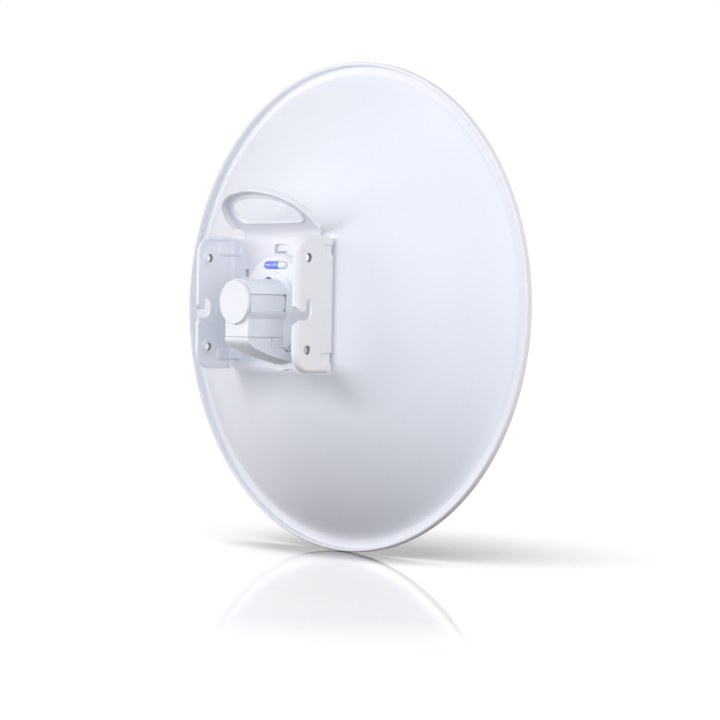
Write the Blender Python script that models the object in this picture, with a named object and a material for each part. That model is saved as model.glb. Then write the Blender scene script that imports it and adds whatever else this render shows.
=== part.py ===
"""Parabolic dish antenna: a pressed bowl on a sheet-metal bracket, with the radio behind it and the feed in front.

Run with: blender --background --python part.py

Lengths below are in millimetres and become metres when a mesh is made. X points right seen from
behind, Y is the way the bowl looks, Z is up. The construction frame has X = 0 on the middle plane
and Z = 0 at the bracket's mid height. Everything then hangs under one empty, which moves the origin
onto the outer face of the right ear.
"""

import math

import bmesh
import bpy
from mathutils import Vector

MM = 0.001
SEAT = 0.3

# Bowl
RIM_RADIUS = 210.0
BOWL_SHEET = 1.6
BOWL_DROP = 2.0
BOWL_VERTEX_Y = -49.0
BOWL_FOUR_F = 526.0
BOWL_EDGE_RADIUS = 194.0
FLANGE_INNER_RADIUS = 201.0
HEM_INNER_RADIUS = 206.8
HEM_REAR_Y = 21.1
FLANGE_REAR_Y = 26.0
BOWL_SEGMENTS = 96
PAD_REAR_Y = -50.5
PAD_HALF_WIDTH = 63.0
PAD_HALF_HEIGHT = 57.0
PAD_CORNER = 7.0
PAD_SLOPE = 0.9
PAD_BLEND = 8.0
FEED_HOLE_RADIUS = 19.0
FEED_HOLE_Z = 0.5

# Bracket
SHEET = 2.3
EAR_WIDTH = 129.0
EAR_HALF_HEIGHT = 56.0
EAR_REAR_Y = -93.8
EAR_CORNER = 15.5
LIP_RADIUS = 4.0
LIP_END_Y = -57.6
WEB_REAR_Y = -53.1
BEND_INNER = 4.2
CHANNEL_HALF_HEIGHT = 54.4
MOUNT_HOLE_Y = -81.0
MOUNT_HOLE_HALF_SPACING = 37.5
MOUNT_HOLE_RADIUS = 3.5
DART_MID_Z = 44.1
DART_HALF_HEIGHT = 5.4
DART_FLOOR_HALF_HEIGHT = 2.8
DART_DEPTH = 1.6
DART_START_Y = -71.0
DART_END_X = 49.3
WEB_TAB_HALF_WIDTH = 11.0
WEB_TAB_DROP = 1.6
WEB_HOLE_RADIUS = 22.0
SLOT_X = 43.7
SLOT_Z = 25.8
SLOT_WIDTH = 4.6
SLOT_HEIGHT = 6.1
WINDOW_HALF_WIDTH = 8.5
WINDOW_HALF_HEIGHT = 4.2
WINDOW_X = -1.1
WINDOW_Z = 45.8

# Carrying handle, drawn flat and then bent
HANDLE_ROOT_HALF_WIDTH = 47.0
HANDLE_HALF_WIDTH = 53.5
HANDLE_RISE = 53.0
HANDLE_BASE = 59.15
HANDLE_START = 48.0
FLANGE_START = 65.4
FLANGE_HEIGHT = 3.9
GRIP_HALF_WIDTH = 41.0
GRIP_RISE = 31.7
GRIP_BASE = 69.6
GRIP_LIP = 1.7
BEND_START = 55.2
BEND_RADIUS = 10.0
LEAN = math.radians(48.0)

# Radio behind the bowl
RADIO_Z = FEED_HOLE_Z
COLLAR_RADIUS = 42.0
COLLAR_REAR_Y = -60.0
BARREL_RADIUS = 19.6
BARREL_REAR_Y = -101.6
CAP_RADIUS = 18.3
CAP_REAR_Y = -105.3
COLUMN_HALF_WIDTH = 14.5
SEAM_Z = -27.8
LATCH_HALF_HEIGHT = 7.2
LATCH_FACE_X = 17.4
LATCH_FRONT_Y = -63.9
COVER_CROWN = 3.0
VIAL_X = 1.0
VIAL_Z = 32.2
VIAL_RADIUS = 3.3
VIAL_HALF_LENGTH = 13.8

# Feed in front of the bowl
TUBE_RADIUS = 16.0
TUBE_FRONT_Y = 88.0
HEAD_RADIUS = 27.0
HEAD_REAR_Y = 76.0
HEAD_FRONT_Y = 102.0
RING_RADIUS = 34.0

ORIGIN = (EAR_WIDTH / 2, -66.0, 0.0)


def clear_scene():
    """Remove what the start-up file holds."""
    for item in list(bpy.data.objects):
        bpy.data.objects.remove(item, do_unlink=True)


def material(name, colour, roughness, metallic):
    """A plain surface from its colour, roughness and metallic value."""
    made = bpy.data.materials.new(name)
    made.use_nodes = True
    shader = made.node_tree.nodes["Principled BSDF"]
    shader.inputs["Base Color"].default_value = (*colour, 1.0)
    shader.inputs["Roughness"].default_value = roughness
    shader.inputs["Metallic"].default_value = metallic
    made.diffuse_color = (*colour, 1.0)
    return made


def add_object(name, corners, faces):
    """A closed mesh object from corners in millimetres."""
    mesh = bpy.data.meshes.new(name)
    mesh.from_pydata([Vector(corner) * MM for corner in corners], [], faces)
    work = bmesh.new()
    work.from_mesh(mesh)
    bmesh.ops.remove_doubles(work, verts=work.verts, dist=1e-7)
    bmesh.ops.recalc_face_normals(work, faces=work.faces)
    work.to_mesh(mesh)
    work.free()
    made = bpy.data.objects.new(name, mesh)
    bpy.context.scene.collection.objects.link(made)
    return made


def placed(axis, along, first, second):
    """A corner from its place along an axis and its two coordinates across it, in XYZ order."""
    if axis == "X":
        return (along, first, second)
    if axis == "Y":
        return (first, along, second)
    return (first, second, along)


def loft(name, rings, ring_shaped=False):
    """A closed body through rings with the same number of corners: with flat ends, or joined into a ring."""
    count = len(rings[0])
    corners = [corner for ring in rings for corner in ring]
    faces = [tuple(range(count)), tuple(range(len(corners) - count, len(corners)))]
    if ring_shaped:
        faces = []
    for level in range(len(rings) if ring_shaped else len(rings) - 1):
        above = (level + 1) % len(rings)
        for step in range(count):
            following = (step + 1) % count
            here = (level * count + step, level * count + following)
            faces.append((*here, above * count + following, above * count + step))
    return add_object(name, corners, faces)


def prism(name, outline, axis, low, high):
    """An outline swept straight along an axis."""
    return loft(name, [[placed(axis, along, *point) for point in outline] for along in (low, high)])


def box(name, low, high):
    """A box between two corners."""
    outline = [(low[0], low[1]), (high[0], low[1]), (high[0], high[1]), (low[0], high[1])]
    return prism(name, outline, "Z", low[2], high[2])


def circle(radius, segments, middle=(0.0, 0.0), start=0.0):
    """Corners of a regular polygon."""
    angles = [start + 2 * math.pi * step / segments for step in range(segments)]
    return [(middle[0] + radius * math.cos(a), middle[1] + radius * math.sin(a)) for a in angles]


def disc(name, radius, axis, low, high, middle=(0.0, 0.0), segments=48):
    """A cylinder along an axis."""
    return prism(name, circle(radius, segments, middle), axis, low, high)


def turned(name, profile, middle_z, segments):
    """A body turned about the Y axis from (radius, y) points that start and end off the axis."""
    rings = []
    for radius, along in profile:
        rings.append([placed("Y", along, *p) for p in circle(radius, segments, (0.0, middle_z))])
    return loft(name, rings)


def combine(target, others, operation):
    """Join others to the target, or cut them from it, and remove them."""
    for other in others:
        step = target.modifiers.new("combine", "BOOLEAN")
        step.operation = operation
        step.solver = "EXACT"
        step.object = other
        other.hide_render = True
        other.display_type = "WIRE"
        depsgraph = bpy.context.evaluated_depsgraph_get()
        shape = bpy.data.meshes.new_from_object(target.evaluated_get(depsgraph))
        target.modifiers.remove(step)
        old = target.data
        target.data = shape
        bpy.data.meshes.remove(old)
        bpy.data.objects.remove(other, do_unlink=True)
    return target


def join(target, *others):
    """Boolean union."""
    return combine(target, others, "UNION")


def cut(target, *others):
    """Boolean difference."""
    return combine(target, others, "DIFFERENCE")


def finish(item, surface, smooth_angle=None):
    """Give a node its material, its shading and its parent."""
    item.data.materials.clear()
    item.data.materials.append(surface)
    rounded = smooth_angle is not None
    item.data.shade_flat()
    if rounded:
        item.data.set_sharp_from_angle(angle=math.radians(smooth_angle))
        item.data.polygons.foreach_set("use_smooth", [True] * len(item.data.polygons))
    item.parent = bpy.data.objects["antenna_frame"]
    return item


def bowl_y(radius):
    """Rear surface of the bowl at a radius from its axis."""
    return BOWL_VERTEX_Y + radius * radius / BOWL_FOUR_F


def beyond(x, z, half_x, half_z, corner):
    """Distance outside a rounded rectangle, negative inside it."""
    over_x = abs(x) - half_x + corner
    over_z = abs(z) - half_z + corner
    return math.hypot(max(over_x, 0.0), max(over_z, 0.0)) + min(max(over_x, over_z), 0.0) - corner


def edge_point(angle, half_x, half_z, corner, middle_z):
    """Where a ray from the middle of a rounded rectangle meets its edge."""
    low = 0.0
    high = half_x + half_z
    for _ in range(40):
        reach = (low + high) / 2
        if beyond(reach * math.cos(angle), reach * math.sin(angle), half_x, half_z, corner) < 0.0:
            low = reach
        else:
            high = reach
    return (low * math.cos(angle), low * math.sin(angle) + middle_z)


def reflector_y(x, z):
    """Rear surface of the pressed sheet: the bowl, drawn out to the flat pad with soft sides."""
    bowl = bowl_y(math.hypot(x, z + BOWL_DROP)) - PAD_REAR_Y
    side = PAD_SLOPE * max(beyond(x, z, PAD_HALF_WIDTH, PAD_HALF_HEIGHT, PAD_CORNER), 0.0)
    soft = min(PAD_BLEND, 0.9 * bowl)
    shared = max(soft - abs(bowl - side), 0.0) / soft
    return PAD_REAR_Y + min(bowl, side) - shared * shared * soft / 4


def front_corner(x, z):
    """The sheet's front skin opposite a place on its rear skin."""
    span = 0.4
    slope_x = (reflector_y(x + span, z) - reflector_y(x - span, z)) / (2 * span)
    slope_z = (reflector_y(x, z + span) - reflector_y(x, z - span)) / (2 * span)
    scale = BOWL_SHEET / math.sqrt(1 + slope_x * slope_x + slope_z * slope_z)
    return (x - slope_x * scale, reflector_y(x, z) + scale, z - slope_z * scale)


def rounded_rectangle(half_x, half_z, corner, steps, middle=(0.0, 0.0)):
    """Corners of a rectangle with rounded corners."""
    outline = []
    for quarter, (sign_x, sign_z) in enumerate(((1, 1), (-1, 1), (-1, -1), (1, -1))):
        centre_x = middle[0] + sign_x * (half_x - corner)
        centre_z = middle[1] + sign_z * (half_z - corner)
        for step in range(steps + 1):
            angle = math.radians(90 * quarter + 90 * step / steps)
            outline.append((centre_x + corner * math.cos(angle), centre_z + corner * math.sin(angle)))
    return outline


def sheet_rings():
    """Outlines across the pressed sheet, from the feed hole over the pad's edge to the bowl's edge."""
    hole = FEED_HOLE_RADIUS
    outlines = [(hole, hole, hole, FEED_HOLE_Z), (43.0, 40.0, 24.0, 0.0)]
    for spread in (0.0, 2.5, 6.0, 10.0, 14.0, 19.0):
        outlines.append((PAD_HALF_WIDTH + spread, PAD_HALF_HEIGHT + spread, PAD_CORNER + spread, 0.0))
    outlines.append((97.0, 93.0, 64.0, -1.0))
    for radius in (113.0, 128.0, 144.0, 160.0, 174.0, 185.0, BOWL_EDGE_RADIUS):
        outlines.append((radius, radius, radius, -BOWL_DROP))
    angles = [2 * math.pi * step / BOWL_SEGMENTS for step in range(BOWL_SEGMENTS)]
    return [[edge_point(angle, *outline) for angle in angles] for outline in outlines]


def build_reflector():
    """Bowl with its flat pad, its outward flange and the rolled hem at the rim."""
    sheet = sheet_rings()
    rings = [[(x, reflector_y(x, z), z) for x, z in ring] for ring in sheet]
    front_y = FLANGE_REAR_Y + BOWL_SHEET
    rim = [
        (FLANGE_INNER_RADIUS - 2.6, FLANGE_REAR_Y - 0.7),
        (FLANGE_INNER_RADIUS, FLANGE_REAR_Y),
        (HEM_INNER_RADIUS, FLANGE_REAR_Y),
        (HEM_INNER_RADIUS, HEM_REAR_Y + 0.9),
        (HEM_INNER_RADIUS + 0.9, HEM_REAR_Y),
        (RIM_RADIUS - 1.0, HEM_REAR_Y),
        (RIM_RADIUS, HEM_REAR_Y + 1.0),
        (RIM_RADIUS, front_y - 0.8),
        (RIM_RADIUS - 0.8, front_y),
        (FLANGE_INNER_RADIUS - 1.4, front_y),
        (FLANGE_INNER_RADIUS - 4.4, front_y - 1.0),
    ]
    for radius, along in rim:
        outline = circle(radius, BOWL_SEGMENTS, (0.0, -BOWL_DROP))
        rings.append([placed("Y", along, *point) for point in outline])
    rings += [[front_corner(x, z) for x, z in ring] for ring in sheet[::-1]]
    reflector = loft("reflector", rings, ring_shaped=True)
    cut(reflector, box("pad_slot", (-4.6, -60.0, 41.9), (4.6, -40.0, 43.5)))
    return reflector


def channel_outline():
    """Cross-section of the web, the two bends and the roots of the ears, seen from above."""
    half = EAR_WIDTH / 2
    outer_radius = BEND_INNER + SHEET
    front = WEB_REAR_Y + SHEET
    centre = (half - outer_radius, front - outer_radius)
    rear = LIP_END_Y - 2.0
    outside = [(half, rear)]
    inside = [(half - SHEET, rear)]
    for step in range(7):
        angle = math.radians(15 * step)
        outside.append((centre[0] + outer_radius * math.cos(angle), centre[1] + outer_radius * math.sin(angle)))
        inside.append((centre[0] + BEND_INNER * math.cos(angle), centre[1] + BEND_INNER * math.sin(angle)))
    right = outside + inside[::-1]
    left_outside = [(-x, y) for x, y in outside[::-1]]
    left_inside = [(-x, y) for x, y in inside]
    return outside + left_outside + left_inside + right[len(outside):]


def ear_outline(inset):
    """The ear's side outline in (y, z), moved inwards by an inset, with rounded rear corners."""
    low_y = EAR_REAR_Y + inset
    high_z = EAR_HALF_HEIGHT - inset
    corner = EAR_CORNER - inset
    points = [(-48.0, high_z)]
    for step in range(7):
        angle = math.radians(90 + 15 * step)
        points.append((low_y + corner + corner * math.cos(angle), high_z - corner + corner * math.sin(angle)))
    mirrored = [(y, -z) for y, z in points[::-1]]
    return points + mirrored


def ear_body(name, side):
    """One ear with its edge rolled inwards along the top, the rear and the bottom."""
    half = EAR_WIDTH / 2
    skin = LIP_RADIUS
    bend = LIP_RADIUS * (1 - math.cos(math.radians(45)))
    inner_bend = SHEET + (LIP_RADIUS - SHEET) * (1 - math.cos(math.radians(45)))
    steps = [(skin, 0.0), (bend, bend), (0.0, LIP_RADIUS), (SHEET, LIP_RADIUS), (inner_bend, inner_bend), (skin, SHEET)]
    rings = []
    for inset, depth in steps:
        rings.append([(side * (half - depth), y, z) for y, z in ear_outline(inset)])
    ear = loft(name, rings)
    cut(ear, box("ear_front", (-70.0, LIP_END_Y, -70.0), (70.0, 0.0, 70.0)))
    return ear


def superellipse(half_width, rise, steps):
    """Upper half of the handle's outline, from right to left."""
    points = []
    for step in range(steps + 1):
        angle = math.pi * step / steps
        across = math.copysign(abs(math.cos(angle)) ** (2 / 1.76), math.cos(angle))
        points.append((half_width * across, rise * math.sin(angle) ** (2 / 3.45)))
    return points


def handle_bent(across, along, out):
    """A flat handle point (across, along, out towards the viewer behind) on the bent sheet."""
    arc = BEND_RADIUS * LEAN
    if along <= BEND_START:
        return (across, WEB_REAR_Y - out, along)
    turn = min(along - BEND_START, arc) / BEND_RADIUS
    radius = BEND_RADIUS - out
    rest = max(0.0, along - BEND_START - arc)
    y = WEB_REAR_Y - BEND_RADIUS + radius * math.cos(turn) - rest * math.sin(turn)
    z = BEND_START + radius * math.sin(turn) + rest * math.cos(turn)
    return (across, y, z)


def handle_outline(inset):
    """Flat outline of the handle above its root, moved inwards by an inset."""
    arch = superellipse(HANDLE_HALF_WIDTH - inset, HANDLE_RISE - inset, 32)
    arch = [(x, HANDLE_BASE + s) for x, s in arch if HANDLE_BASE + s > FLANGE_START]
    return arch


def grip_outline(outset):
    """Flat outline of the grip hole, moved outwards by an outset."""
    arch = superellipse(GRIP_HALF_WIDTH + outset, GRIP_RISE + outset, 24)[2:-2]
    low = GRIP_BASE - outset
    width = GRIP_HALF_WIDTH + outset
    foot = [(-width * 0.985, low + 7.0), (-width * 0.93, low + 2.6), (-width * 0.80, low)]
    arch = [(x, GRIP_BASE + s) for x, s in arch if s > 9.0]
    return arch + foot + [(-x, s) for x, s in foot[::-1]]


def build_handle():
    """The handle with its turned outer edge and its rolled grip hole, bent back from the web."""
    arch = handle_outline(0.0)
    wide = arch[0][0]
    root = [
        (-wide + 1.0, FLANGE_START - 0.6),
        (-HANDLE_ROOT_HALF_WIDTH - 1.2, FLANGE_START - 2.6),
        (-HANDLE_ROOT_HALF_WIDTH, FLANGE_START - 5.0),
        (-HANDLE_ROOT_HALF_WIDTH, HANDLE_START),
    ]
    outline = arch + root + [(-x, s) for x, s in root[::-1]]
    plate = prism("handle", outline, "Z", -SHEET, 0.0)
    flange = prism("flange", handle_outline(0.0), "Z", -SHEET + 0.6, FLANGE_HEIGHT)
    inner = handle_outline(SHEET)
    inner = [(inner[0][0], FLANGE_START - 9.0)] + inner + [(inner[-1][0], FLANGE_START - 9.0)]
    cut(flange, prism("flange_inside", inner, "Z", -SHEET - 2.0, FLANGE_HEIGHT + 2.0))
    join(plate, flange)
    join(plate, prism("grip_rim", grip_outline(2.0), "Z", -SHEET + 0.6, GRIP_LIP))
    cut(plate, prism("grip_hole", grip_outline(0.0), "Z", -SHEET - 2.0, FLANGE_HEIGHT + 2.0))
    work = bmesh.new()
    work.from_mesh(plate.data)
    arc = BEND_RADIUS * LEAN
    for step in range(7):
        along = (BEND_START + arc * step / 6) * MM
        every = work.verts[:] + work.edges[:] + work.faces[:]
        bmesh.ops.bisect_plane(work, geom=every, dist=1e-7, plane_co=(0, along, 0), plane_no=(0, 1, 0))
    for vertex in work.verts:
        flat = vertex.co / MM
        vertex.co = Vector(handle_bent(flat.x, flat.y, flat.z)) * MM
    bmesh.ops.recalc_face_normals(work, faces=work.faces)
    work.to_mesh(plate.data)
    work.free()
    return plate


def notch_outline():
    """Hook slot in the ear's rear edge in (y, z), as the side view shows it."""
    return [
        (EAR_REAR_Y - 6.0, -23.9),
        (-90.0, -13.5),
        (-82.6, -13.3),
        (-80.1, -12.0),
        (-78.1, -9.6),
        (-77.3, -6.0),
        (-77.3, 0.0),
        (-78.6, 3.2),
        (-81.0, 4.2),
        (-83.1, 3.2),
        (-83.9, 1.2),
        (-83.9, -4.6),
        (-85.1, -6.1),
        (-89.6, -6.1),
        (EAR_REAR_Y - 6.0, 3.2),
    ]


def dart_path(depth, out):
    """Plan line across the right bend, this deep in the dart and this far out through the sheet."""
    ear_x = EAR_WIDTH / 2 - SHEET + out
    web_y = WEB_REAR_Y + out
    bend = BEND_INNER + 1.2 * max(depth, 0.0)
    start_y = DART_START_Y + 0.7 * out
    path = [(ear_x - min(depth, 0.0), start_y), (ear_x - depth, start_y + 3.0)]
    for step in range(6):
        angle = math.radians(18 * step)
        x = ear_x - out - depth - bend + (bend + out) * math.cos(angle)
        y = web_y - out - depth - bend + (bend + out) * math.sin(angle)
        path.append((x, y))
    path.append((DART_END_X + 2.4, web_y - depth))
    path.append((DART_END_X, web_y - min(depth, 0.0)))
    return path


def dart(name, side, middle_z, out):
    """A pressed dart across a bend: the ridge on the inside, or the hollow on the outside."""
    rings = []
    edge = -0.05 if out == 0.0 else 0.0
    for half, depth in ((-DART_HALF_HEIGHT, edge), (-DART_FLOOR_HALF_HEIGHT, DART_DEPTH)):
        rings.append((middle_z + half, depth))
    rings += [(2 * middle_z - z, depth) for z, depth in rings[::-1]]
    loops = []
    for z, depth in rings:
        path = dart_path(depth, out)
        if out == 0.0:
            path += dart_path(-1.2, out)[::-1]
        else:
            path += [(DART_END_X, -47.0), (EAR_WIDTH / 2 + 3.0, -47.0), (EAR_WIDTH / 2 + 3.0, path[0][1])]
        loops.append([(side * x, y, z) for x, y in path])
    return loft(name, loops)


def side_slot(side):
    """Cutter for the narrow upright slot in the web beside the collar."""
    half = SLOT_WIDTH / 2
    low = (side * SLOT_X - half, -60.0, SLOT_Z - SLOT_HEIGHT / 2)
    high = (side * SLOT_X + half, -40.0, SLOT_Z + SLOT_HEIGHT / 2)
    return box("side_slot", low, high)


def build_bracket():
    """Web, ears and handle of the bracket, one pressing."""
    bracket = prism("bracket", channel_outline(), "Z", -CHANNEL_HALF_HEIGHT, CHANNEL_HALF_HEIGHT)
    for side in (1, -1):
        join(bracket, ear_body("ear", side))
    join(bracket, build_handle())
    low = CHANNEL_HALF_HEIGHT + WEB_TAB_DROP
    tab = [(-WEB_TAB_HALF_WIDTH, -50.0), (-7.0, -low), (7.0, -low), (WEB_TAB_HALF_WIDTH, -50.0)]
    join(bracket, prism("web_tab", tab, "Y", WEB_REAR_Y, WEB_REAR_Y + SHEET))
    for side in (1, -1):
        for middle_z in (DART_MID_Z, -DART_MID_Z):
            join(bracket, dart("dart_ridge", side, middle_z, 0.0))
            cut(bracket, dart("dart_hollow", side, middle_z, SHEET))
    cut(bracket, prism("notch", notch_outline(), "X", -80.0, 80.0))
    for z in (MOUNT_HOLE_HALF_SPACING, -MOUNT_HOLE_HALF_SPACING):
        cut(bracket, disc("mount_hole", MOUNT_HOLE_RADIUS, "X", -80.0, 80.0, (MOUNT_HOLE_Y, z), 24))
    cut(bracket, disc("feed_hole", WEB_HOLE_RADIUS, "Y", -60.0, -40.0, (0.0, RADIO_Z)))
    for side in (1, -1):
        cut(bracket, side_slot(side))
    window = rounded_rectangle(WINDOW_HALF_WIDTH, WINDOW_HALF_HEIGHT, 2.6, 4, (WINDOW_X, WINDOW_Z))
    cut(bracket, prism("window", window, "Y", -60.0, -40.0))
    return bracket


def build_collar():
    """Round moulding on the web that carries the radio, with the level's pocket and a screw recess."""
    front = WEB_REAR_Y - SEAT
    edge = 3.2
    profile = [
        (COLLAR_RADIUS, front),
        (COLLAR_RADIUS, COLLAR_REAR_Y + edge),
        (COLLAR_RADIUS - edge, COLLAR_REAR_Y),
    ]
    collar = turned("collar", profile, 0.0, 64)
    cut(collar, disc("bore", TUBE_RADIUS + SEAT, "Y", -70.0, -40.0, (0.0, RADIO_Z)))
    cut(collar, disc("screw_recess", 6.5, "Y", -70.0, COLLAR_REAR_Y + 3.6, (0.0, 22.5), 24))
    cut(collar, capsule("vial_pocket", VIAL_RADIUS + SEAT, VIAL_HALF_LENGTH + SEAT, 12))
    return collar


def capsule(name, radius, half_length, segments):
    """A round-ended rod along X at the level's place, with flat tips a little off the axis."""
    rings = []
    straight = half_length - radius
    for quarter in range(0, 4):
        angle = math.radians(8 + 82 * quarter / 3)
        rings.append((-straight - radius * math.cos(angle), radius * math.sin(angle)))
    stations = rings + [(-x, r) for x, r in rings[::-1]]
    middle = (COLLAR_REAR_Y + 0.6, VIAL_Z)
    loops = [[placed("X", x + VIAL_X, *p) for p in circle(r, segments, middle, math.pi / segments)] for x, r in stations]
    return loft(name, loops)


def build_housing():
    """Barrel of the radio with the port column under it."""
    front = COLLAR_REAR_Y - SEAT
    profile = [(24.2, front), (20.8, -61.4), (BARREL_RADIUS, -62.7), (BARREL_RADIUS, BARREL_REAR_Y)]
    housing = turned("radio_housing", profile, RADIO_Z, 64)
    half = COLUMN_HALF_WIDTH
    join(housing, box("column", (-half, BARREL_REAR_Y + 0.02, SEAM_Z), (half, -65.4, -4.0)))
    foot = [(-68.0, -10.0), (-62.9, -9.0), (front - 0.02, -9.0), (front - 0.02, -39.2), (-61.6, -39.2)]
    foot += [(-65.0, -36.2), (-65.0, SEAM_Z), (-68.0, SEAM_Z)]
    join(housing, prism("foot", foot, "X", 0.02 - half, half - 0.02))
    flare = [(half - 1.0, -62.4), (half + 0.3, -62.0), (18.4, -61.2), (22.6, front - 0.02)]
    flare += [(-x, y) for x, y in flare[::-1]]
    join(housing, prism("flare", flare, "Z", -36.0, -8.98))
    for side in (1, -1):
        low = min(side * 14.9, side * 26.0)
        high = max(side * 14.9, side * 26.0)
        z = LATCH_HALF_HEIGHT + SEAT
        cut(housing, box("latch_seat", (low, BARREL_REAR_Y - 5.0, RADIO_Z - z), (high, LATCH_FRONT_Y + SEAT, RADIO_Z + z)))
    return housing


def build_latch(name, side):
    """Flat spring arm in the barrel's side."""
    near = side * (14.9 + SEAT)
    far = side * LATCH_FACE_X
    low = (min(near, far), BARREL_REAR_Y + 0.3, RADIO_Z - LATCH_HALF_HEIGHT)
    high = (max(near, far), LATCH_FRONT_Y, RADIO_Z + LATCH_HALF_HEIGHT)
    return box(name, low, high)


def build_cap():
    """Round end cap with an eased edge."""
    back = BARREL_REAR_Y - SEAT
    profile = [(CAP_RADIUS, back), (CAP_RADIUS, CAP_REAR_Y + 0.9), (CAP_RADIUS - 0.9, CAP_REAR_Y)]
    return turned("end_cap", profile, RADIO_Z, 64)


def build_cover():
    """Port cover under the column, swept back to the bracket's foot, with a crowned underside."""
    top = SEAM_Z - SEAT
    front = WEB_REAR_Y - 0.9
    upper = [(front, -42.5), (-60.3, -42.5), (-60.6, -41.2), (-62.2, -39.9), (-65.4, -37.0)]
    upper.append((-65.0 - SEAT - 0.1, top))
    upper.append((BARREL_REAR_Y, top))
    lower = [
        (BARREL_REAR_Y + 0.3, -30.6),
        (-99.6, -33.3),
        (-95.0, -36.2),
        (-88.4, -39.2),
        (-80.0, -42.4),
        (-70.0, -45.0),
        (-60.0, -46.8),
        (front, -47.8),
    ]
    rings = []
    for step in range(-4, 5):
        across = step / 4
        crown = COVER_CROWN * (1 - across * across)
        ring = upper + [(y, z - crown * (y - BARREL_REAR_Y) / (front - BARREL_REAR_Y)) for y, z in lower]
        rings.append([(COLUMN_HALF_WIDTH * across, y, z) for y, z in ring])
    return loft("port_cover", rings)


def build_feed_tube():
    """Tube from the radio through the bowl to the feed's head."""
    profile = [(TUBE_RADIUS, COLLAR_REAR_Y + 0.02), (TUBE_RADIUS, TUBE_FRONT_Y)]
    return turned("feed_tube", profile, RADIO_Z, 48)


def build_feed_ring():
    """Ring that closes the bowl's hole in front, round the feed tube."""
    back = PAD_REAR_Y + BOWL_SHEET + SEAT
    profile = [(RING_RADIUS, back), (RING_RADIUS, back + 2.0), (TUBE_RADIUS + 5.0, back + 9.0)]
    ring = turned("feed_ring", profile, RADIO_Z, 48)
    return cut(ring, disc("bore", TUBE_RADIUS + SEAT, "Y", -70.0, 0.0, (0.0, RADIO_Z)))


def build_feed_head():
    """Cup over the tube's end, with a domed front."""
    profile = [(TUBE_RADIUS + 3.0, HEAD_REAR_Y), (HEAD_RADIUS, HEAD_REAR_Y + 9.0), (HEAD_RADIUS, HEAD_FRONT_Y - 8.0)]
    for step in range(1, 5):
        angle = math.radians(90 * step / 5)
        radius = HEAD_RADIUS - 9.0 * (1 - math.cos(angle))
        profile.append((radius, HEAD_FRONT_Y - 8.0 + 8.0 * math.sin(angle)))
    head = turned("feed_head", profile, RADIO_Z, 48)
    socket = disc("socket", TUBE_RADIUS + SEAT, "Y", 60.0, TUBE_FRONT_Y + SEAT, (0.0, RADIO_Z))
    return cut(head, socket)


def main():
    """Build every node and hang it under the empty that sets the origin."""
    clear_scene()
    frame = bpy.data.objects.new("antenna_frame", None)
    bpy.context.scene.collection.objects.link(frame)
    frame.location = [-value * MM for value in ORIGIN]

    coat = {"colour": (0.88, 0.89, 0.91), "roughness": 0.42, "metallic": 0.0}
    plastic = {"colour": (0.91, 0.92, 0.93), "roughness": 0.34, "metallic": 0.0}
    finish(build_reflector(), material("reflector_coat", **coat), 35)
    finish(build_bracket(), material("bracket_coat", **coat), 30)
    finish(build_collar(), material("collar_plastic", **plastic), 35)
    vial = capsule("level_vial", VIAL_RADIUS, VIAL_HALF_LENGTH, 12)
    finish(vial, material("vial_blue", (0.05, 0.12, 0.75), 0.08, 0.0), 60)
    finish(build_housing(), material("housing_plastic", **plastic), 35)
    finish(build_cap(), material("cap_plastic", **plastic), 35)
    for side, name in ((1, "side_latch_right"), (-1, "side_latch_left")):
        finish(build_latch(name, side), material(name + "_plastic", **plastic))
    finish(build_cover(), material("cover_plastic", **plastic), 35)
    finish(build_feed_tube(), material("tube_plastic", **plastic), 35)
    finish(build_feed_ring(), material("ring_plastic", **plastic), 35)
    finish(build_feed_head(), material("head_plastic", **plastic), 35)


main()
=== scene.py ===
"""Dresses the parabolic dish antenna and sets it in a plain white studio.

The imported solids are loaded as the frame. Each of them is then replaced by a finer piece of the same
size in the same place. All sizes below are in millimetres, in the maker's own axes: X points right seen
from behind, Y is the way the bowl looks, Z is up, and X = 0 and Z = 0 lie in the middle of the bracket.
"""

import logging
import math
from dataclasses import dataclass
from enum import Enum
from typing import Iterable, Mapping, Optional, Sequence

import bmesh
import bpy
from mathutils import Matrix, Vector

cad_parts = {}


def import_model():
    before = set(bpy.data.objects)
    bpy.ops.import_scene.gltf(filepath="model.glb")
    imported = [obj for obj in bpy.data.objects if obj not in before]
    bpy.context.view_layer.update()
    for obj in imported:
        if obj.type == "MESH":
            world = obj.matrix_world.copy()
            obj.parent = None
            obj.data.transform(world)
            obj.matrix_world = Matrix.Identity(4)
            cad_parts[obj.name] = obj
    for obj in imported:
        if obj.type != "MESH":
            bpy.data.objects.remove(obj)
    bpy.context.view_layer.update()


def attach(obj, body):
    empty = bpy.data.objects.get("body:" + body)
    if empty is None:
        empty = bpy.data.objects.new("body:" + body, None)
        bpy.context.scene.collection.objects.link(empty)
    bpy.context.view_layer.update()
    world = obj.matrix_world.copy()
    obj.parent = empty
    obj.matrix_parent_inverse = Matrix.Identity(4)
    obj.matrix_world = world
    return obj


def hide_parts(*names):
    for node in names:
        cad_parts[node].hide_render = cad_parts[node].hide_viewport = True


LOG = logging.getLogger("dish_antenna")

Flat = tuple[float, float]
Corner = tuple[float, float, float]
Tree = bpy.types.NodeTree
Node = bpy.types.Node
Socket = bpy.types.NodeSocket

MM = 0.001
# The frame's origin lies on the right ear's outer face.
EAR_FACE = Vector((64.5, -66.0, 0.0))
# Far enough behind and in front of the web and the pad to cut through either.
THROUGH: Flat = (-60.0, -40.0)
IMAGE_WIDTH = 720
SENSOR_WIDTH = 36.0


def to_world(point: Sequence[float]) -> Vector:
    """Turn a place in the maker's millimetres into metres from the right ear's face."""
    return (Vector(point) - EAR_FACE) * MM


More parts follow.
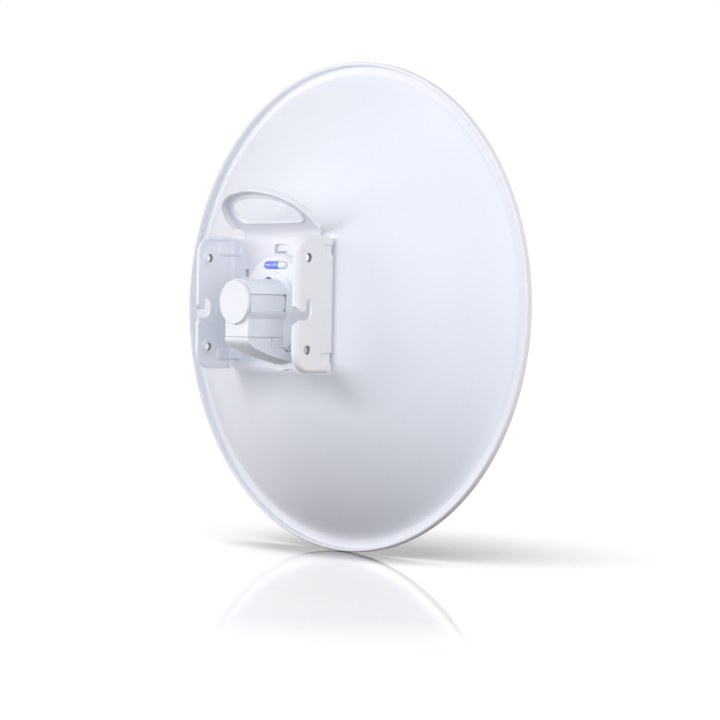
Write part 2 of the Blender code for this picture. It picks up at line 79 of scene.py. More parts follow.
def arc(centre: Flat, radius: float, start: float, end: float, steps: int) -> list[Flat]:
    """Points along part of a circle.

    Args:
        centre: The circle's middle.
        radius: The circle's radius.
        start: The first angle in degrees.
        end: The last angle in degrees.
        steps: How many chords to use.

    Returns:
        The points, both ends included.
    """
    points = []
    for step in range(steps + 1):
        angle = math.radians(start + (end - start) * step / steps)
        points.append((centre[0] + radius * math.cos(angle), centre[1] + radius * math.sin(angle)))
    return points


def circle(centre: Flat, radius: float, count: int) -> list[Flat]:
    """Evenly spaced points round a whole circle."""
    return arc(centre, radius, 0.0, 360.0 - 360.0 / count, count - 1)


def mixed(low: float, high: float, share: float) -> float:
    """A value that lies a share of the way from low to high."""
    return low + (high - low) * share


def eased(share: float) -> float:
    """A share from 0 to 1, with a soft start and end."""
    held = min(max(share, 0.0), 1.0)
    return held * held * (3.0 - 2.0 * held)


def beyond(x: float, z: float, half_x: float, half_z: float, corner: float) -> float:
    """How far a place lies outside a rounded rectangle.

    Args:
        x: The place's distance to the right of the middle.
        z: The place's height above the middle.
        half_x: Half the rectangle's width.
        half_z: Half the rectangle's height.
        corner: The radius of its corners.

    Returns:
        The distance, negative inside.
    """
    over_x = abs(x) - half_x + corner
    over_z = abs(z) - half_z + corner
    return math.hypot(max(over_x, 0.0), max(over_z, 0.0)) + min(max(over_x, over_z), 0.0) - corner


def rounded_rectangle(
    half_x: float, half_z: float, corner: float, steps: int, middle: Flat = (0.0, 0.0)
) -> list[Flat]:
    """Outline of a rectangle with rounded corners.

    Args:
        half_x: Half its width.
        half_z: Half its height.
        corner: The radius of its corners.
        steps: Chords in each corner.
        middle: Where its middle lies.

    Returns:
        The outline's points, counter-clockwise.
    """
    outline: list[Flat] = []
    for quarter, (side_x, side_z) in enumerate(((1, 1), (-1, 1), (-1, -1), (1, -1))):
        centre = (middle[0] + side_x * (half_x - corner), middle[1] + side_z * (half_z - corner))
        outline += arc(centre, corner, 90.0 * quarter, 90.0 * quarter + 90.0, steps)
    return outline


def ray_reach(outline: Sequence[Flat], middle: Flat, angle: float) -> Flat:
    """Where a ray from inside an outline leaves it.

    Args:
        outline: A closed outline that every ray from the middle crosses once.
        middle: Where the ray starts.
        angle: The ray's direction in radians.

    Returns:
        The crossing point.
    """
    along = (math.cos(angle), math.sin(angle))
    best = 0.0
    for first, second in zip(outline, [*outline[1:], outline[0]]):
        side = (second[0] - first[0], second[1] - first[1])
        offset = (first[0] - middle[0], first[1] - middle[1])
        turn = along[0] * side[1] - along[1] * side[0]
        if abs(turn) < 1e-9:
            continue
        reach = (offset[0] * side[1] - offset[1] * side[0]) / turn
        place = (offset[0] * along[1] - offset[1] * along[0]) / turn
        if reach > 0.0 and -1e-6 <= place <= 1.0 + 1e-6:
            best = max(best, reach)
    return (middle[0] + best * along[0], middle[1] + best * along[1])


class Axis(Enum):
    """The direction along which a shape is swept or turned."""

    X = "x"
    Y = "y"
    Z = "z"

    def place(self, along: float, point: Flat) -> Corner:
        """Put a flat point at a place along this axis.

        Args:
            along: The place along the axis.
            point: The two coordinates across it, in X, Y, Z order.

        Returns:
            The corner in X, Y, Z order.
        """
        if self is Axis.X:
            return (along, point[0], point[1])
        if self is Axis.Y:
            return (point[0], along, point[1])
        return (point[0], point[1], along)


class Form:
    """A closed shape in the maker's millimetres that can be joined, cut and softened."""

    def __init__(self, name: str, corners: Iterable[Corner], faces: Iterable[Sequence[int]]) -> None:
        """Make the shape.

        Args:
            name: The name of the object that holds it.
            corners: Its corners in millimetres.
            faces: Its faces, as numbers of corners.
        """
        mesh = bpy.data.meshes.new(name)
        mesh.from_pydata([to_world(corner) for corner in corners], [], [tuple(face) for face in faces])
        work = bmesh.new()
        work.from_mesh(mesh)
        bmesh.ops.remove_doubles(work, verts=work.verts, dist=1e-7)
        bmesh.ops.recalc_face_normals(work, faces=work.faces)
        work.to_mesh(mesh)
        work.free()
        self.item = bpy.data.objects.new(name, mesh)
        bpy.context.scene.collection.objects.link(self.item)

    @classmethod
    def loft(cls, name: str, rings: Sequence[Sequence[Corner]], closed: bool = False) -> "Form":
        """A skin through rings of equally many corners.

        Args:
            name: The object's name.
            rings: The rings in order.
            closed: Whether the last ring joins the first, instead of both ends being capped.

        Returns:
            The new shape.
        """
        count = len(rings[0])
        faces: list[tuple[int, ...]] = []
        if not closed:
            faces.append(tuple(range(count)))
            faces.append(tuple(range((len(rings) - 1) * count, len(rings) * count)))
        for level in range(len(rings) if closed else len(rings) - 1):
            above = (level + 1) % len(rings)
            for step in range(count):
                following = (step + 1) % count
                here = (level * count + step, level * count + following)
                faces.append((*here, above * count + following, above * count + step))
        return cls(name, [corner for ring in rings for corner in ring], faces)

    @classmethod
    def prism(cls, name: str, outline: Sequence[Flat], axis: Axis, low: float, high: float) -> "Form":
        """An outline swept straight along an axis.

        Args:
            name: The object's name.
            outline: The outline across the axis.
            axis: The direction of the sweep.
            low: Where the sweep starts.
            high: Where it ends.

        Returns:
            The new shape.
        """
        return cls.loft(name, [[axis.place(along, point) for point in outline] for along in (low, high)])

    @classmethod
    def box(cls, name: str, low: Corner, high: Corner) -> "Form":
        """A plain block, used only to cut or to join."""
        outline = [(low[0], low[1]), (high[0], low[1]), (high[0], high[1]), (low[0], high[1])]
        return cls.prism(name, outline, Axis.Z, low[2], high[2])

    @classmethod
    def turned(
        cls,
        name: str,
        profile: Sequence[Flat],
        axis: Axis,
        middle: Flat,
        segments: int,
        closed: bool = False,
    ) -> "Form":
        """A body turned about an axis.

        Args:
            name: The object's name.
            profile: Pairs of radius and place along the axis, which start and end off the axis.
            axis: The axis.
            middle: Where the axis lies, in the two coordinates across it.
            segments: How many flats go round.
            closed: Whether the profile is a whole loop, which leaves a hole along the axis.

        Returns:
            The new shape.
        """
        rings = []
        for radius, along in profile:
            rings.append([axis.place(along, point) for point in circle(middle, radius, segments)])
        return cls.loft(name, rings, closed)

    def _settle(self) -> None:
        """Turn the object's modifiers into plain mesh."""
        depsgraph = bpy.context.evaluated_depsgraph_get()
        shape = bpy.data.meshes.new_from_object(self.item.evaluated_get(depsgraph))
        self.item.modifiers.clear()
        old = self.item.data
        self.item.data = shape
        bpy.data.meshes.remove(old)

    def _combine(self, others: Sequence["Form"], operation: str) -> "Form":
        """Run one Boolean after another and remove the shapes that were used.

        Args:
            others: The shapes to use up.
            operation: Blender's name for what is done with each.

        Returns:
            The shape itself.
        """
        for other in others:
            step = self.item.modifiers.new("combine", "BOOLEAN")
            step.operation = operation
            step.solver = "MANIFOLD"
            step.object = other.item
        self._settle()
        for other in others:
            bpy.data.objects.remove(other.item, do_unlink=True)
        return self

    def join(self, *others: "Form") -> "Form":
        """Add other shapes to this one."""
        return self._combine(others, "UNION")

    def cut(self, *others: "Form") -> "Form":
        """Take other shapes out of this one."""
        return self._combine(others, "DIFFERENCE")

    def soften(self, width: float, angle: float = 35.0, segments: int = 2) -> "Form":
        """Ease the sharp edges and shade the faces smoothly.

        Args:
            width: The width of the eased edge in millimetres, or 0 for none.
            angle: The least angle in degrees between faces at an edge that counts as sharp.
            segments: How many facets an eased edge has.

        Returns:
            The shape itself.
        """
        if width > 0.0:
            ease = self.item.modifiers.new("ease", "BEVEL")
            ease.width = width * MM
            ease.segments = segments
            ease.limit_method = "ANGLE"
            ease.angle_limit = math.radians(angle)
            ease.use_clamp_overlap = True
            ease.miter_outer = "MITER_ARC"
            self._settle()
        mesh = self.item.data
        mesh.shade_smooth()
        mesh.set_sharp_from_angle(angle=math.radians(angle + 10.0))
        level = self.item.modifiers.new("even_shading", "WEIGHTED_NORMAL")
        level.keep_sharp = True
        self._settle()
        return self

    def dress(self, finish: "Finish", slot: str, nodes: Sequence[str] = ()) -> bpy.types.Object:
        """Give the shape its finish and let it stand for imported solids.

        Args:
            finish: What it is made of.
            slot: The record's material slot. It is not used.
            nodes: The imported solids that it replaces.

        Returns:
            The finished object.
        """
        self.item.data.materials.clear()
        self.item.data.materials.append(finish.material())
        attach(self.item, "root")
        if nodes:
            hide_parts(*nodes)
        LOG.info("%s: %d faces, %s", self.item.name, len(self.item.data.polygons), finish.material().name)
        return self.item


def linear(colour: str) -> tuple[float, float, float, float]:
    """Turn an sRGB hex colour into linear values.

    Args:
        colour: The colour as #RRGGBB.

    Returns:
        Red, green, blue and an alpha of 1.
    """
    values = []
    for start in (1, 3, 5):
        level = int(colour[start : start + 2], 16) / 255.0
        values.append(level / 12.92 if level <= 0.04045 else ((level + 0.055) / 1.055) ** 2.4)
    return (values[0], values[1], values[2], 1.0)


def add_node(
    tree: Tree,
    kind: str,
    settings: Optional[Mapping[str, object]] = None,
    links: Optional[Mapping[str, Socket]] = None,
) -> Node:
    """Add a shader node with its settings and its links.

    Args:
        tree: The node tree.
        kind: The node's type.
        settings: Values by the name of an input, or else of a property.
        links: Output sockets by the name of the input that each feeds.

    Returns:
        The new node.
    """
    node = tree.nodes.new(kind)
    for name, value in (settings or {}).items():
        if name in node.inputs:
            node.inputs[name].default_value = value
        else:
            setattr(node, name, value)
    for name, source in (links or {}).items():
        tree.links.new(source, node.inputs[name])
    return node


def repeats(size_mm: float) -> float:
    """How many times a pattern of a size in millimetres repeats in a metre."""
    return 1.0 / (size_mm * MM)


def fresh_material(name: str) -> bpy.types.Material:
    """Start a material.

    Args:
        name: The material's name.

    Returns:
        The new material, without any node.
    """
    made = bpy.data.materials.new(name)
    made.use_nodes = True
    made.node_tree.nodes.clear()
    return made


@dataclass(frozen=True)
class Finish:
    """What a piece is made of: a surface whose tone drifts between two close colours."""

    name: str
    colour: str
    shade: str
    roughness: float
    ior: float = 1.5
    metallic: float = 0.0

    def skin(self, tree: Tree, place: Socket, shader: Node) -> Node:
        """Add what is special to this finish.

        Args:
            tree: The material's node tree.
            place: The place on the object.
            shader: The surface shader.

        Returns:
            The node whose first output shares out the two colours.
        """
        raise NotImplementedError

    def material(self) -> bpy.types.Material:
        """Make the material, unless it was made before.

        Returns:
            The material.
        """
        if self.name in bpy.data.materials:
            return bpy.data.materials[self.name]
        made = fresh_material(self.name)
        tree = made.node_tree
        place = add_node(tree, "ShaderNodeTexCoord").outputs["Object"]
        settings = {"Metallic": self.metallic, "IOR": self.ior, "Roughness": self.roughness}
        shader = add_node(tree, "ShaderNodeBsdfPrincipled", settings)
        share = self.skin(tree, place, shader).outputs[0]
        tone = add_node(tree, "ShaderNodeMix", {"data_type": "RGBA"}, {"Factor": share})
        tone.inputs[6].default_value = linear(self.colour)
        tone.inputs[7].default_value = linear(self.shade)
        tree.links.new(tone.outputs[2], shader.inputs["Base Color"])
        add_node(tree, "ShaderNodeOutputMaterial", links={"Surface": shader.outputs["BSDF"]})
        return made


@dataclass(frozen=True)
class PowderCoat(Finish):
    """Polyester powder coat on steel: sprayed dry, then melted in an oven.

    The melt levels off into shallow ripples, the orange peel, so a highlight on it looks soft and a
    little uneven. The film is thicker in some places than in others, which shifts its tone slightly.
    """

    spray_mm: float = 90.0
    peel_mm: float = 2.4
    peel_height_mm: float = 0.012
    grain_mm: float = 0.45

    def skin(self, tree: Tree, place: Socket, shader: Node) -> Node:
        """Add the film's drift, its orange peel and its fine grain.

        Args:
            tree: The material's node tree.
            place: The place on the object.
            shader: The surface shader.

        Returns:
            The film's drift.
        """
        # Film thickness drifts over the width of a spray pass.
        width = {"Scale": repeats(self.spray_mm), "Detail": 2.0}
        drift = add_node(tree, "ShaderNodeTexNoise", width, {"Vector": place})
        # Orange peel: ripples of 2 to 3 mm that are about a hundredth of a millimetre high.
        wave = {"Scale": repeats(self.peel_mm), "Detail": 1.5, "Roughness": 0.4}
        peel = add_node(tree, "ShaderNodeTexNoise", wave, {"Vector": place})
        height = {"Strength": 0.6, "Distance": self.peel_height_mm * MM}
        ripple = add_node(tree, "ShaderNodeBump", height, {"Height": peel.outputs["Fac"]})
        tree.links.new(ripple.outputs["Normal"], shader.inputs["Normal"])
        fine = {"Scale": repeats(self.grain_mm), "Detail": 2.0}
        grain = add_node(tree, "ShaderNodeTexNoise", fine, {"Vector": place})
        spread = {"To Min": self.roughness - 0.04, "To Max": self.roughness + 0.05}
        sheen = add_node(tree, "ShaderNodeMapRange", spread, {"Value": grain.outputs["Fac"]})
        tree.links.new(sheen.outputs["Result"], shader.inputs["Roughness"])
        return drift


@dataclass(frozen=True)
class MouldedPlastic(Finish):
    """Weather-proof ASA plastic, injection moulded in a steel tool with a fine spark-eroded skin.

    The skin's grain breaks up reflections, so the plastic looks softer and a little warmer than the
    coated steel beside it. Flow in the tool leaves a very faint change of tone.
    """

    roughness: float = 0.42
    ior: float = 1.49
    flow_mm: float = 30.0
    grain_mm: float = 0.35
    grain_height_mm: float = 0.006

    def skin(self, tree: Tree, place: Socket, shader: Node) -> Node:
        """Add the flow's tone and the eroded grain.

        Args:
            tree: The material's node tree.
            place: The place on the object.
            shader: The surface shader.

        Returns:
            The flow's tone.
        """
        current = {"Scale": repeats(self.flow_mm), "Detail": 1.0, "Distortion": 0.6}
        flow = add_node(tree, "ShaderNodeTexNoise", current, {"Vector": place})
        # The eroded grain is about 0.1 mm wide. It is drawn at 0.35 mm, so that it can show at all.
        cells = {"Scale": repeats(self.grain_mm), "feature": "SMOOTH_F1"}
        grain = add_node(tree, "ShaderNodeTexVoronoi", cells, {"Vector": place})
        spread = {"To Min": self.roughness - 0.05, "To Max": self.roughness + 0.07}
        sheen = add_node(tree, "ShaderNodeMapRange", spread, {"Value": grain.outputs["Distance"]})
        tree.links.new(sheen.outputs["Result"], shader.inputs["Roughness"])
        height = {"Strength": 0.5, "Distance": self.grain_height_mm * MM}
        pits = add_node(tree, "ShaderNodeBump", height, {"Height": grain.outputs["Distance"]})
        tree.links.new(pits.outputs["Normal"], shader.inputs["Normal"])
        return flow


@dataclass(frozen=True)
class VialFluid(Finish):
    """Dyed spirit in an acrylic tube: the tube's clear wall gives it a glassy skin.

    The dye's blue is its own colour. The clouds between deep and pale blue are painted shade and light:
    they stand in for light passing through the tube, and are laid at random along it.
    """

    roughness: float = 0.12
    ior: float = 1.49
    cloud_mm: float = 1.9

    def skin(self, tree: Tree, place: Socket, shader: Node) -> Node:
        """Add the clouds and the tube's clear wall.

        Args:
            tree: The material's node tree.
            place: The place on the object.
            shader: The surface shader.

        Returns:
            The clouds.
        """
        shader.inputs["Coat Weight"].default_value = 0.8
        shader.inputs["Coat Roughness"].default_value = 0.03
        # Painted shade and light: random clouds between the deep and the pale colour.
        puffs = {"Scale": repeats(self.cloud_mm), "Detail": 2.0}
        cloud = add_node(tree, "ShaderNodeTexNoise", puffs, {"Vector": place})
        depth = {"From Min": 0.36, "From Max": 0.64}
        return add_node(tree, "ShaderNodeMapRange", depth, {"Value": cloud.outputs["Fac"]})


@dataclass(frozen=True)
class PaintedGapShade(Finish):
    """Painted shade: matt pieces, dark grey or grey, set in slots, holes and gaps that show only shadow.

    They are matt and faintly mottled, so the dark one reads as a dark grey opening rather than as a hard
    black, and the grey one as a soft shadow.
    """

    roughness: float = 0.85
    ior: float = 1.52
    mottle_mm: float = 1.2

    def skin(self, tree: Tree, place: Socket, shader: Node) -> Node:
        """A faint random mottle: a cloudy tone on an even surface."""
        mottle = {"Scale": repeats(self.mottle_mm), "Detail": 3.0}
        return add_node(tree, "ShaderNodeTexNoise", mottle, {"Vector": place})


@dataclass(frozen=True)
class ZincSteel(Finish):
    """Steel with a zinc coat, electroplated and passivated.

    The coat is a grey metal with a fine, uneven crystal, so it glints softly and is darker in hollows.
    """

    roughness: float = 0.42
    metallic: float = 1.0
    spangle_mm: float = 0.9

    def skin(self, tree: Tree, place: Socket, shader: Node) -> Node:
        """Add the crystals.

        Args:
            tree: The material's node tree.
            place: The place on the object.
            shader: The surface shader.

        Returns:
            The crystals' tone.
        """
        crystals = {"Scale": repeats(self.spangle_mm), "Detail": 3.0}
        spangle = add_node(tree, "ShaderNodeTexNoise", crystals, {"Vector": place})
        spread = {"To Min": self.roughness - 0.08, "To Max": self.roughness + 0.1}
        sheen = add_node(tree, "ShaderNodeMapRange", spread, {"Value": spangle.outputs["Fac"]})
        tree.links.new(sheen.outputs["Result"], shader.inputs["Roughness"])
        return spangle


PAINT = PowderCoat("powder_coated_steel", "#EFF0F5", "#E9EBF2", 0.36)
SHELL = MouldedPlastic("moulded_asa", "#F2F3F7", "#EDEEF4")
COVER = MouldedPlastic("moulded_asa_cover", "#F0F1F6", "#EBEDF3")
CAP = MouldedPlastic("moulded_asa_cap", "#EFEFF4", "#EBECF2", roughness=0.46)
# The spirit's deep and pale clouds are painted shade and light.
DYE_AND_PAINTED_LIGHT = VialFluid("dyed_spirit_painted_light", "#3358E6", "#93AEFA")
BUBBLE = VialFluid("clear_acrylic", "#E6EAF4", "#F4F6FB", roughness=0.08)
# Painted shade: the dark and the grey pieces that fill slots, holes and gaps where there is only shadow.
DARK_GAP_SHADE = PaintedGapShade("painted_shade_dark_grey", "#5E6066", "#74767D")
GREY_GAP_SHADE = PaintedGapShade("painted_shade_grey", "#A9ABB2", "#C2C4CB", ior=1.43)
ZINC = ZincSteel("zinc_plated_steel", "#8D9096", "#74777E")


@dataclass
class Reflector:
    """The pressed bowl with its flat pad, its flange and the rolled hem at the rim."""

    rim_radius: float = 210.0
    sheet: float = 1.6
    drop: float = 2.0
    vertex_y: float = -49.0
    four_f: float = 526.0
    edge_radius: float = 194.0
    flange_inner: float = 201.0
    flange_rear_y: float = 26.0
    hem_inner: float = 206.8
    hem_rear_y: float = 21.1
    pad_y: float = -50.5
    pad_half_width: float = 63.0
    pad_half_height: float = 54.9
    pad_corner: float = 7.0
    pad_slope: float = 0.9
    pad_roll: float = 4.0
    pad_blend: float = 9.0
    hole_radius: float = 19.0
    hole_z: float = 0.5
    apron: float = 19.0
    round_reach: float = 113.0
    slot_half: Flat = (5.4, 0.85)
    slot_middle: Flat = (-2.0, 43.05)
    shade_fill_gap: float = 0.02
    segments: int = 240

    def rear_y(self, x: float, z: float) -> float:
        """Rear skin of the sheet: the bowl, drawn out to the flat pad with soft sides.

        Args:
            x: The place's distance to the right of the middle.
            z: Its height above the bracket's middle.

        Returns:
            The skin's place along Y.
        """
        bowl = self.vertex_y + math.hypot(x, z + self.drop) ** 2 / self.four_f - self.pad_y
        out = max(beyond(x, z, self.pad_half_width, self.pad_half_height, self.pad_corner), 0.0)
        rolled = out * out / (2.0 * self.pad_roll) if out < self.pad_roll else out - self.pad_roll / 2.0
        side = self.pad_slope * rolled
        soft = min(self.pad_blend, 0.9 * bowl)
        shared = max(soft - abs(bowl - side), 0.0) / soft
        return self.pad_y + min(bowl, side) - shared * shared * soft / 4.0

    def front_corner(self, x: float, z: float) -> Corner:
        """The front skin opposite a place on the rear skin.

        Args:
            x: The place's distance to the right of the middle.
            z: Its height above the bracket's middle.

        Returns:
            The corner one sheet's thickness in front of it.
        """
        span = 0.4
        slope_x = (self.rear_y(x + span, z) - self.rear_y(x - span, z)) / (2.0 * span)
        slope_z = (self.rear_y(x, z + span) - self.rear_y(x, z - span)) / (2.0 * span)
        scale = self.sheet / math.sqrt(1.0 + slope_x * slope_x + slope_z * slope_z)
        return (x - slope_x * scale, self.rear_y(x, z) + scale, z - slope_z * scale)

    def outline(self, reach: float) -> list[Flat]:
        """A ring on the sheet, round at the hole and the rim and square round the pad.

        Args:
            reach: Half the ring's width.

        Returns:
            The ring's points.
        """
        wide, high, outer, apron = self.pad_half_width, self.pad_half_height, self.round_reach, self.apron
        if reach <= wide:
            share = (reach - self.hole_radius) / (wide - self.hole_radius)
            half_z = mixed(self.hole_radius, high, share)
            corner = mixed(self.hole_radius, self.pad_corner, share)
            middle = mixed(self.hole_z, 0.0, share)
        elif reach <= wide + apron:
            half_z = high + reach - wide
            corner = self.pad_corner + reach - wide
            middle = 0.0
        elif reach < outer:
            share = (reach - wide - apron) / (outer - wide - apron)
            half_z = mixed(high + apron, outer, share)
            corner = mixed(self.pad_corner + apron, outer, share)
            middle = -self.drop * share
        else:
            half_z = corner = reach
            middle = -self.drop
        points = []
        for step in range(self.segments):
            angle = 2.0 * math.pi * step / self.segments
            across, up = math.cos(angle), math.sin(angle)
            low, far = 0.0, reach + half_z
            for _ in range(30):
                tried = (low + far) / 2.0
                inside = beyond(tried * across, tried * up, reach, half_z, corner) < 0.0
                low, far = (tried, far) if inside else (low, tried)
            points.append((low * across, low * up + middle))
        return points

    def rim(self) -> list[Flat]:
        """The flange and the rolled hem, from the bowl's edge behind to the same edge in front.

        Returns:
            Pairs of radius and place along Y.
        """
        rear, inner = self.flange_rear_y, self.hem_inner
        front = rear + self.sheet
        bead = (self.rim_radius - inner) / 2.0
        profile = [(196.6, 24.2), (198.6, 25.5), (self.flange_inner, rear), (inner - 1.0, rear)]
        profile += [(inner - 0.2, rear - 0.3), (inner, rear - 1.2)]
        profile += arc((inner + bead, self.hem_rear_y + bead), bead, 180.0, 360.0, 10)
        profile += arc((self.rim_radius - 1.2, front - 1.2), 1.2, 0.0, 90.0, 4)
        profile += [(self.flange_inner - 0.8, front), (self.flange_inner - 3.0, front - 0.5)]
        profile += [(self.flange_inner - 5.2, front - 2.0)]
        return profile

    def build(self) -> None:
        """Make the sheet, open its slot behind the window, dress it and fill the slot with a grey piece of
        painted shade.
        """
        wide = self.pad_half_width
        reaches = [self.hole_radius, 23.0, 28.0, 34.0, 40.0, 46.0, 51.0, 55.0, 58.0, 60.5, 62.0, wide]
        reaches += [wide + out for out in (0.8, 1.6, 2.5, 3.5, 4.7, 6.0, 7.5, 9.0, 11.0, 13.0, 15.5)]
        reaches += [wide + self.apron, 84.5, 87.5, 91.0, 95.0, 99.0, 103.0, 108.0, self.round_reach]
        reaches += [118.0, 124.0, 130.0]
        reaches += [137.0, 144.0, 151.0, 158.0, 165.0, 172.0, 178.0, 184.0, 189.0, 192.0, self.edge_radius]
        outlines = [self.outline(reach) for reach in reaches]
        rings = [[(x, self.rear_y(x, z), z) for x, z in outline] for outline in outlines]
        for radius, along in self.rim():
            rings.append([(x, along, z) for x, z in circle((0.0, -self.drop), radius, self.segments)])
        rings += [[self.front_corner(x, z) for x, z in outline] for outline in outlines[::-1]]
        form = Form.loft("reflector_sheet", rings, closed=True)
        half_x, half_z = self.slot_half
        outline = rounded_rectangle(half_x, half_z, 0.5, 3, self.slot_middle)
        form.cut(Form.prism("slot", outline, Axis.Y, *THROUGH))
        form.soften(0.0, angle=40.0)
        form.dress(PAINT, "reflector", ["reflector"])
        # Painted shade: a grey piece sits in the slot, where the opening shows only shadow.
        gap = self.shade_fill_gap
        outline = rounded_rectangle(half_x - gap, half_z - gap, 0.5 - gap, 3, self.slot_middle)
        shade_fill = Form.prism("pad_slot_seal", outline, Axis.Y, self.pad_y + 0.5, self.pad_y + 1.5)
        shade_fill.soften(0.12).dress(GREY_GAP_SHADE, "reflector")


@dataclass
class CarryHandle:
    """The handle: one loop of the bracket's sheet, its outer edge turned up and its grip rolled."""

    sheet: float = 2.3
    web_rear_y: float = -53.1
    half_width: float = 53.5
    rise: float = 53.0
    base: float = 59.15
    root_half_width: float = 47.0
    root_start: float = 48.0
    web_top: float = 54.4
    flange_start: float = 65.4
    flange_height: float = 3.9
    grip_half_width: float = 41.0
    grip_rise: float = 29.2
    grip_base: float = 72.1
    grip_lip: float = 1.7
    bend_start: float = 55.2
    bend_radius: float = 10.0
    lean_degrees: float = 48.0
    rays: int = 300

    def bent(self, across: float, along: float, out: float) -> Corner:
        """Bend a place on the flat sheet back over the web's top edge.

        Args:
            across: The place across the sheet.
            along: The place up the flat sheet.
            out: Its height above the sheet's rear skin.

        Returns:
            Its place on the bent handle.
        """
        lean = math.radians(self.lean_degrees)
        if along <= self.bend_start:
            return (across, self.web_rear_y - out, along)
        turn = min(along - self.bend_start, self.bend_radius * lean) / self.bend_radius
        radius = self.bend_radius - out
        rest = max(0.0, along - self.bend_start - self.bend_radius * lean)
        y = self.web_rear_y - self.bend_radius + radius * math.cos(turn) - rest * math.sin(turn)
        z = self.bend_start + radius * math.sin(turn) + rest * math.cos(turn)
        return (across, y, z)

    def arch(self, half_width: float, rise: float, base: float, low: float, steps: int) -> list[Flat]:
        """The upper outline of the handle or of its grip, from right to left.

        Args:
            half_width: Half its width.
            rise: Its height above the base.
            base: Where the base lies on the flat sheet.
            low: The lowest place that is kept.
            steps: How many chords to use.

        Returns:
            The outline's points.
        """
        points = []
        for step in range(steps + 1):
            angle = math.pi * step / steps
            across = half_width * math.copysign(abs(math.cos(angle)) ** (2.0 / 1.76), math.cos(angle))
            along = base + rise * math.sin(angle) ** (2.0 / 3.45)
            if along > low:
                points.append((across, along))
        return points

    def outer_outline(self) -> list[Flat]:
        """The flat outline of the handle with its root in the web.

        Returns:
            The outline's points.
        """
        top = self.arch(self.half_width, self.rise, self.base, self.flange_start, 120)
        root = self.root_half_width
        foot = [(-top[0][0] + 0.9, self.flange_start - 0.6), (-root - 1.2, self.flange_start - 2.6)]
        foot += [(-root, self.flange_start - 5.0)]
        foot += [(-root - 2.2 + x, self.web_top + 2.2 + z) for x, z in arc((0.0, 0.0), 2.2, 0.0, -90.0, 5)]
        foot += [(-root - 2.2, self.root_start)]
        return top + foot + [(-x, z) for x, z in foot[::-1]]

    def grip_outline(self) -> list[Flat]:
        """The flat outline of the grip hole.

        Returns:
            The outline's points.
        """
        wide, low = self.grip_half_width, self.grip_base
        top = self.arch(wide, self.grip_rise, low, low + 9.0, 90)
        foot = [(-wide * 0.985, low + 7.0), (-wide * 0.96, low + 4.4), (-wide * 0.925, low + 2.5)]
        foot += [(-wide * 0.87, low + 0.9), (-wide * 0.80, low)]
        return top + foot + [(-x, z) for x, z in foot[::-1]]

    def section(self, turned_up: float) -> list[tuple[bool, float, float]]:
        """Cross-section from the outer edge to the grip and back in front.

        Args:
            turned_up: How much of the flange stands there, from 0 to 1.

        Returns:
            Whether each point is measured from the outer edge, its distance from that edge or from
            the grip's, and its height above the sheet's rear skin.
        """
        high = self.flange_height * turned_up
        ease = mixed(0.3, 0.6, turned_up)
        wall, fillet = self.sheet, 1.1 * turned_up
        points = [(True, 0.0, high - ease), (True, 0.3 * ease, high - 0.3 * ease), (True, ease, high)]
        points += [(True, wall - ease, high), (True, wall - 0.3 * ease, max(high - 0.3 * ease, 0.0))]
        points += [(True, wall, max(high - ease, 0.0)), (True, wall + 0.001, min(fillet, high))]
        points += [(True, wall + 0.3 * fillet + 0.002, 0.3 * fillet), (True, wall + fillet + 0.003, 0.0)]
        lip = self.grip_lip
        points += [(False, 3.2, 0.0), (False, 2.7, 0.1), (False, 2.2, 0.4), (False, 1.8, 0.8)]
        points += [(False, 1.3, lip - 0.1), (False, 0.7, lip), (False, 0.25, lip - 0.15)]
        points += [(False, 0.0, lip - 0.6), (False, 0.0, 0.9 - wall), (False, 0.12, 0.45 - wall)]
        points += [(False, 0.45, 0.12 - wall), (False, 1.0, -wall)]
        bend = mixed(0.3, 2.9, turned_up)
        for x, y in arc((bend, bend - wall), bend, 270.0, 180.0, 5):
            points.append((True, x, y))
        return points

    def form(self) -> Form:
        """Make the bent handle.

        Returns:
            The shape, ready to be joined to the web.
        """
        outer, grip = self.outer_outline(), self.grip_outline()
        middle = (0.0, 82.0)
        rings = []
        for step in range(self.rays):
            angle = 2.0 * math.pi * (step + 0.5) / self.rays
            edge = ray_reach(outer, middle, angle)
            hole = ray_reach(grip, middle, angle)
            gap = math.dist(edge, hole)
            inward = ((hole[0] - edge[0]) / gap, (hole[1] - edge[1]) / gap)
            turned_up = eased((edge[1] - self.flange_start + 0.4) / 0.8)
            ring = []
            for from_edge, distance, out in self.section(turned_up):
                start, sign = (edge, 1.0) if from_edge else (hole, -1.0)
                across = start[0] + sign * distance * inward[0]
                along = start[1] + sign * distance * inward[1]
                ring.append((across, along, out))
            rings.append([self.bent(*place) for place in self._filled(ring)])
        return Form.loft("carry_handle", rings, closed=True)

    def _filled(self, ring: Sequence[Corner]) -> list[Corner]:
        """Add corners on the long flat runs, so that the bend over the web's edge stays round.

        Args:
            ring: One cross-section's corners on the flat sheet.

        Returns:
            The corners with those on the flat runs added.
        """
        filled: list[Corner] = []
        for first, second in zip(ring, [*ring[1:], ring[0]]):
            filled.append(first)
            if (first, second) in ((ring[8], ring[9]), (ring[20], ring[21])):
                for step in range(1, 12):
                    share = step / 12.0
                    filled.append(tuple(mixed(a, b, share) for a, b in zip(first, second)))
        return filled


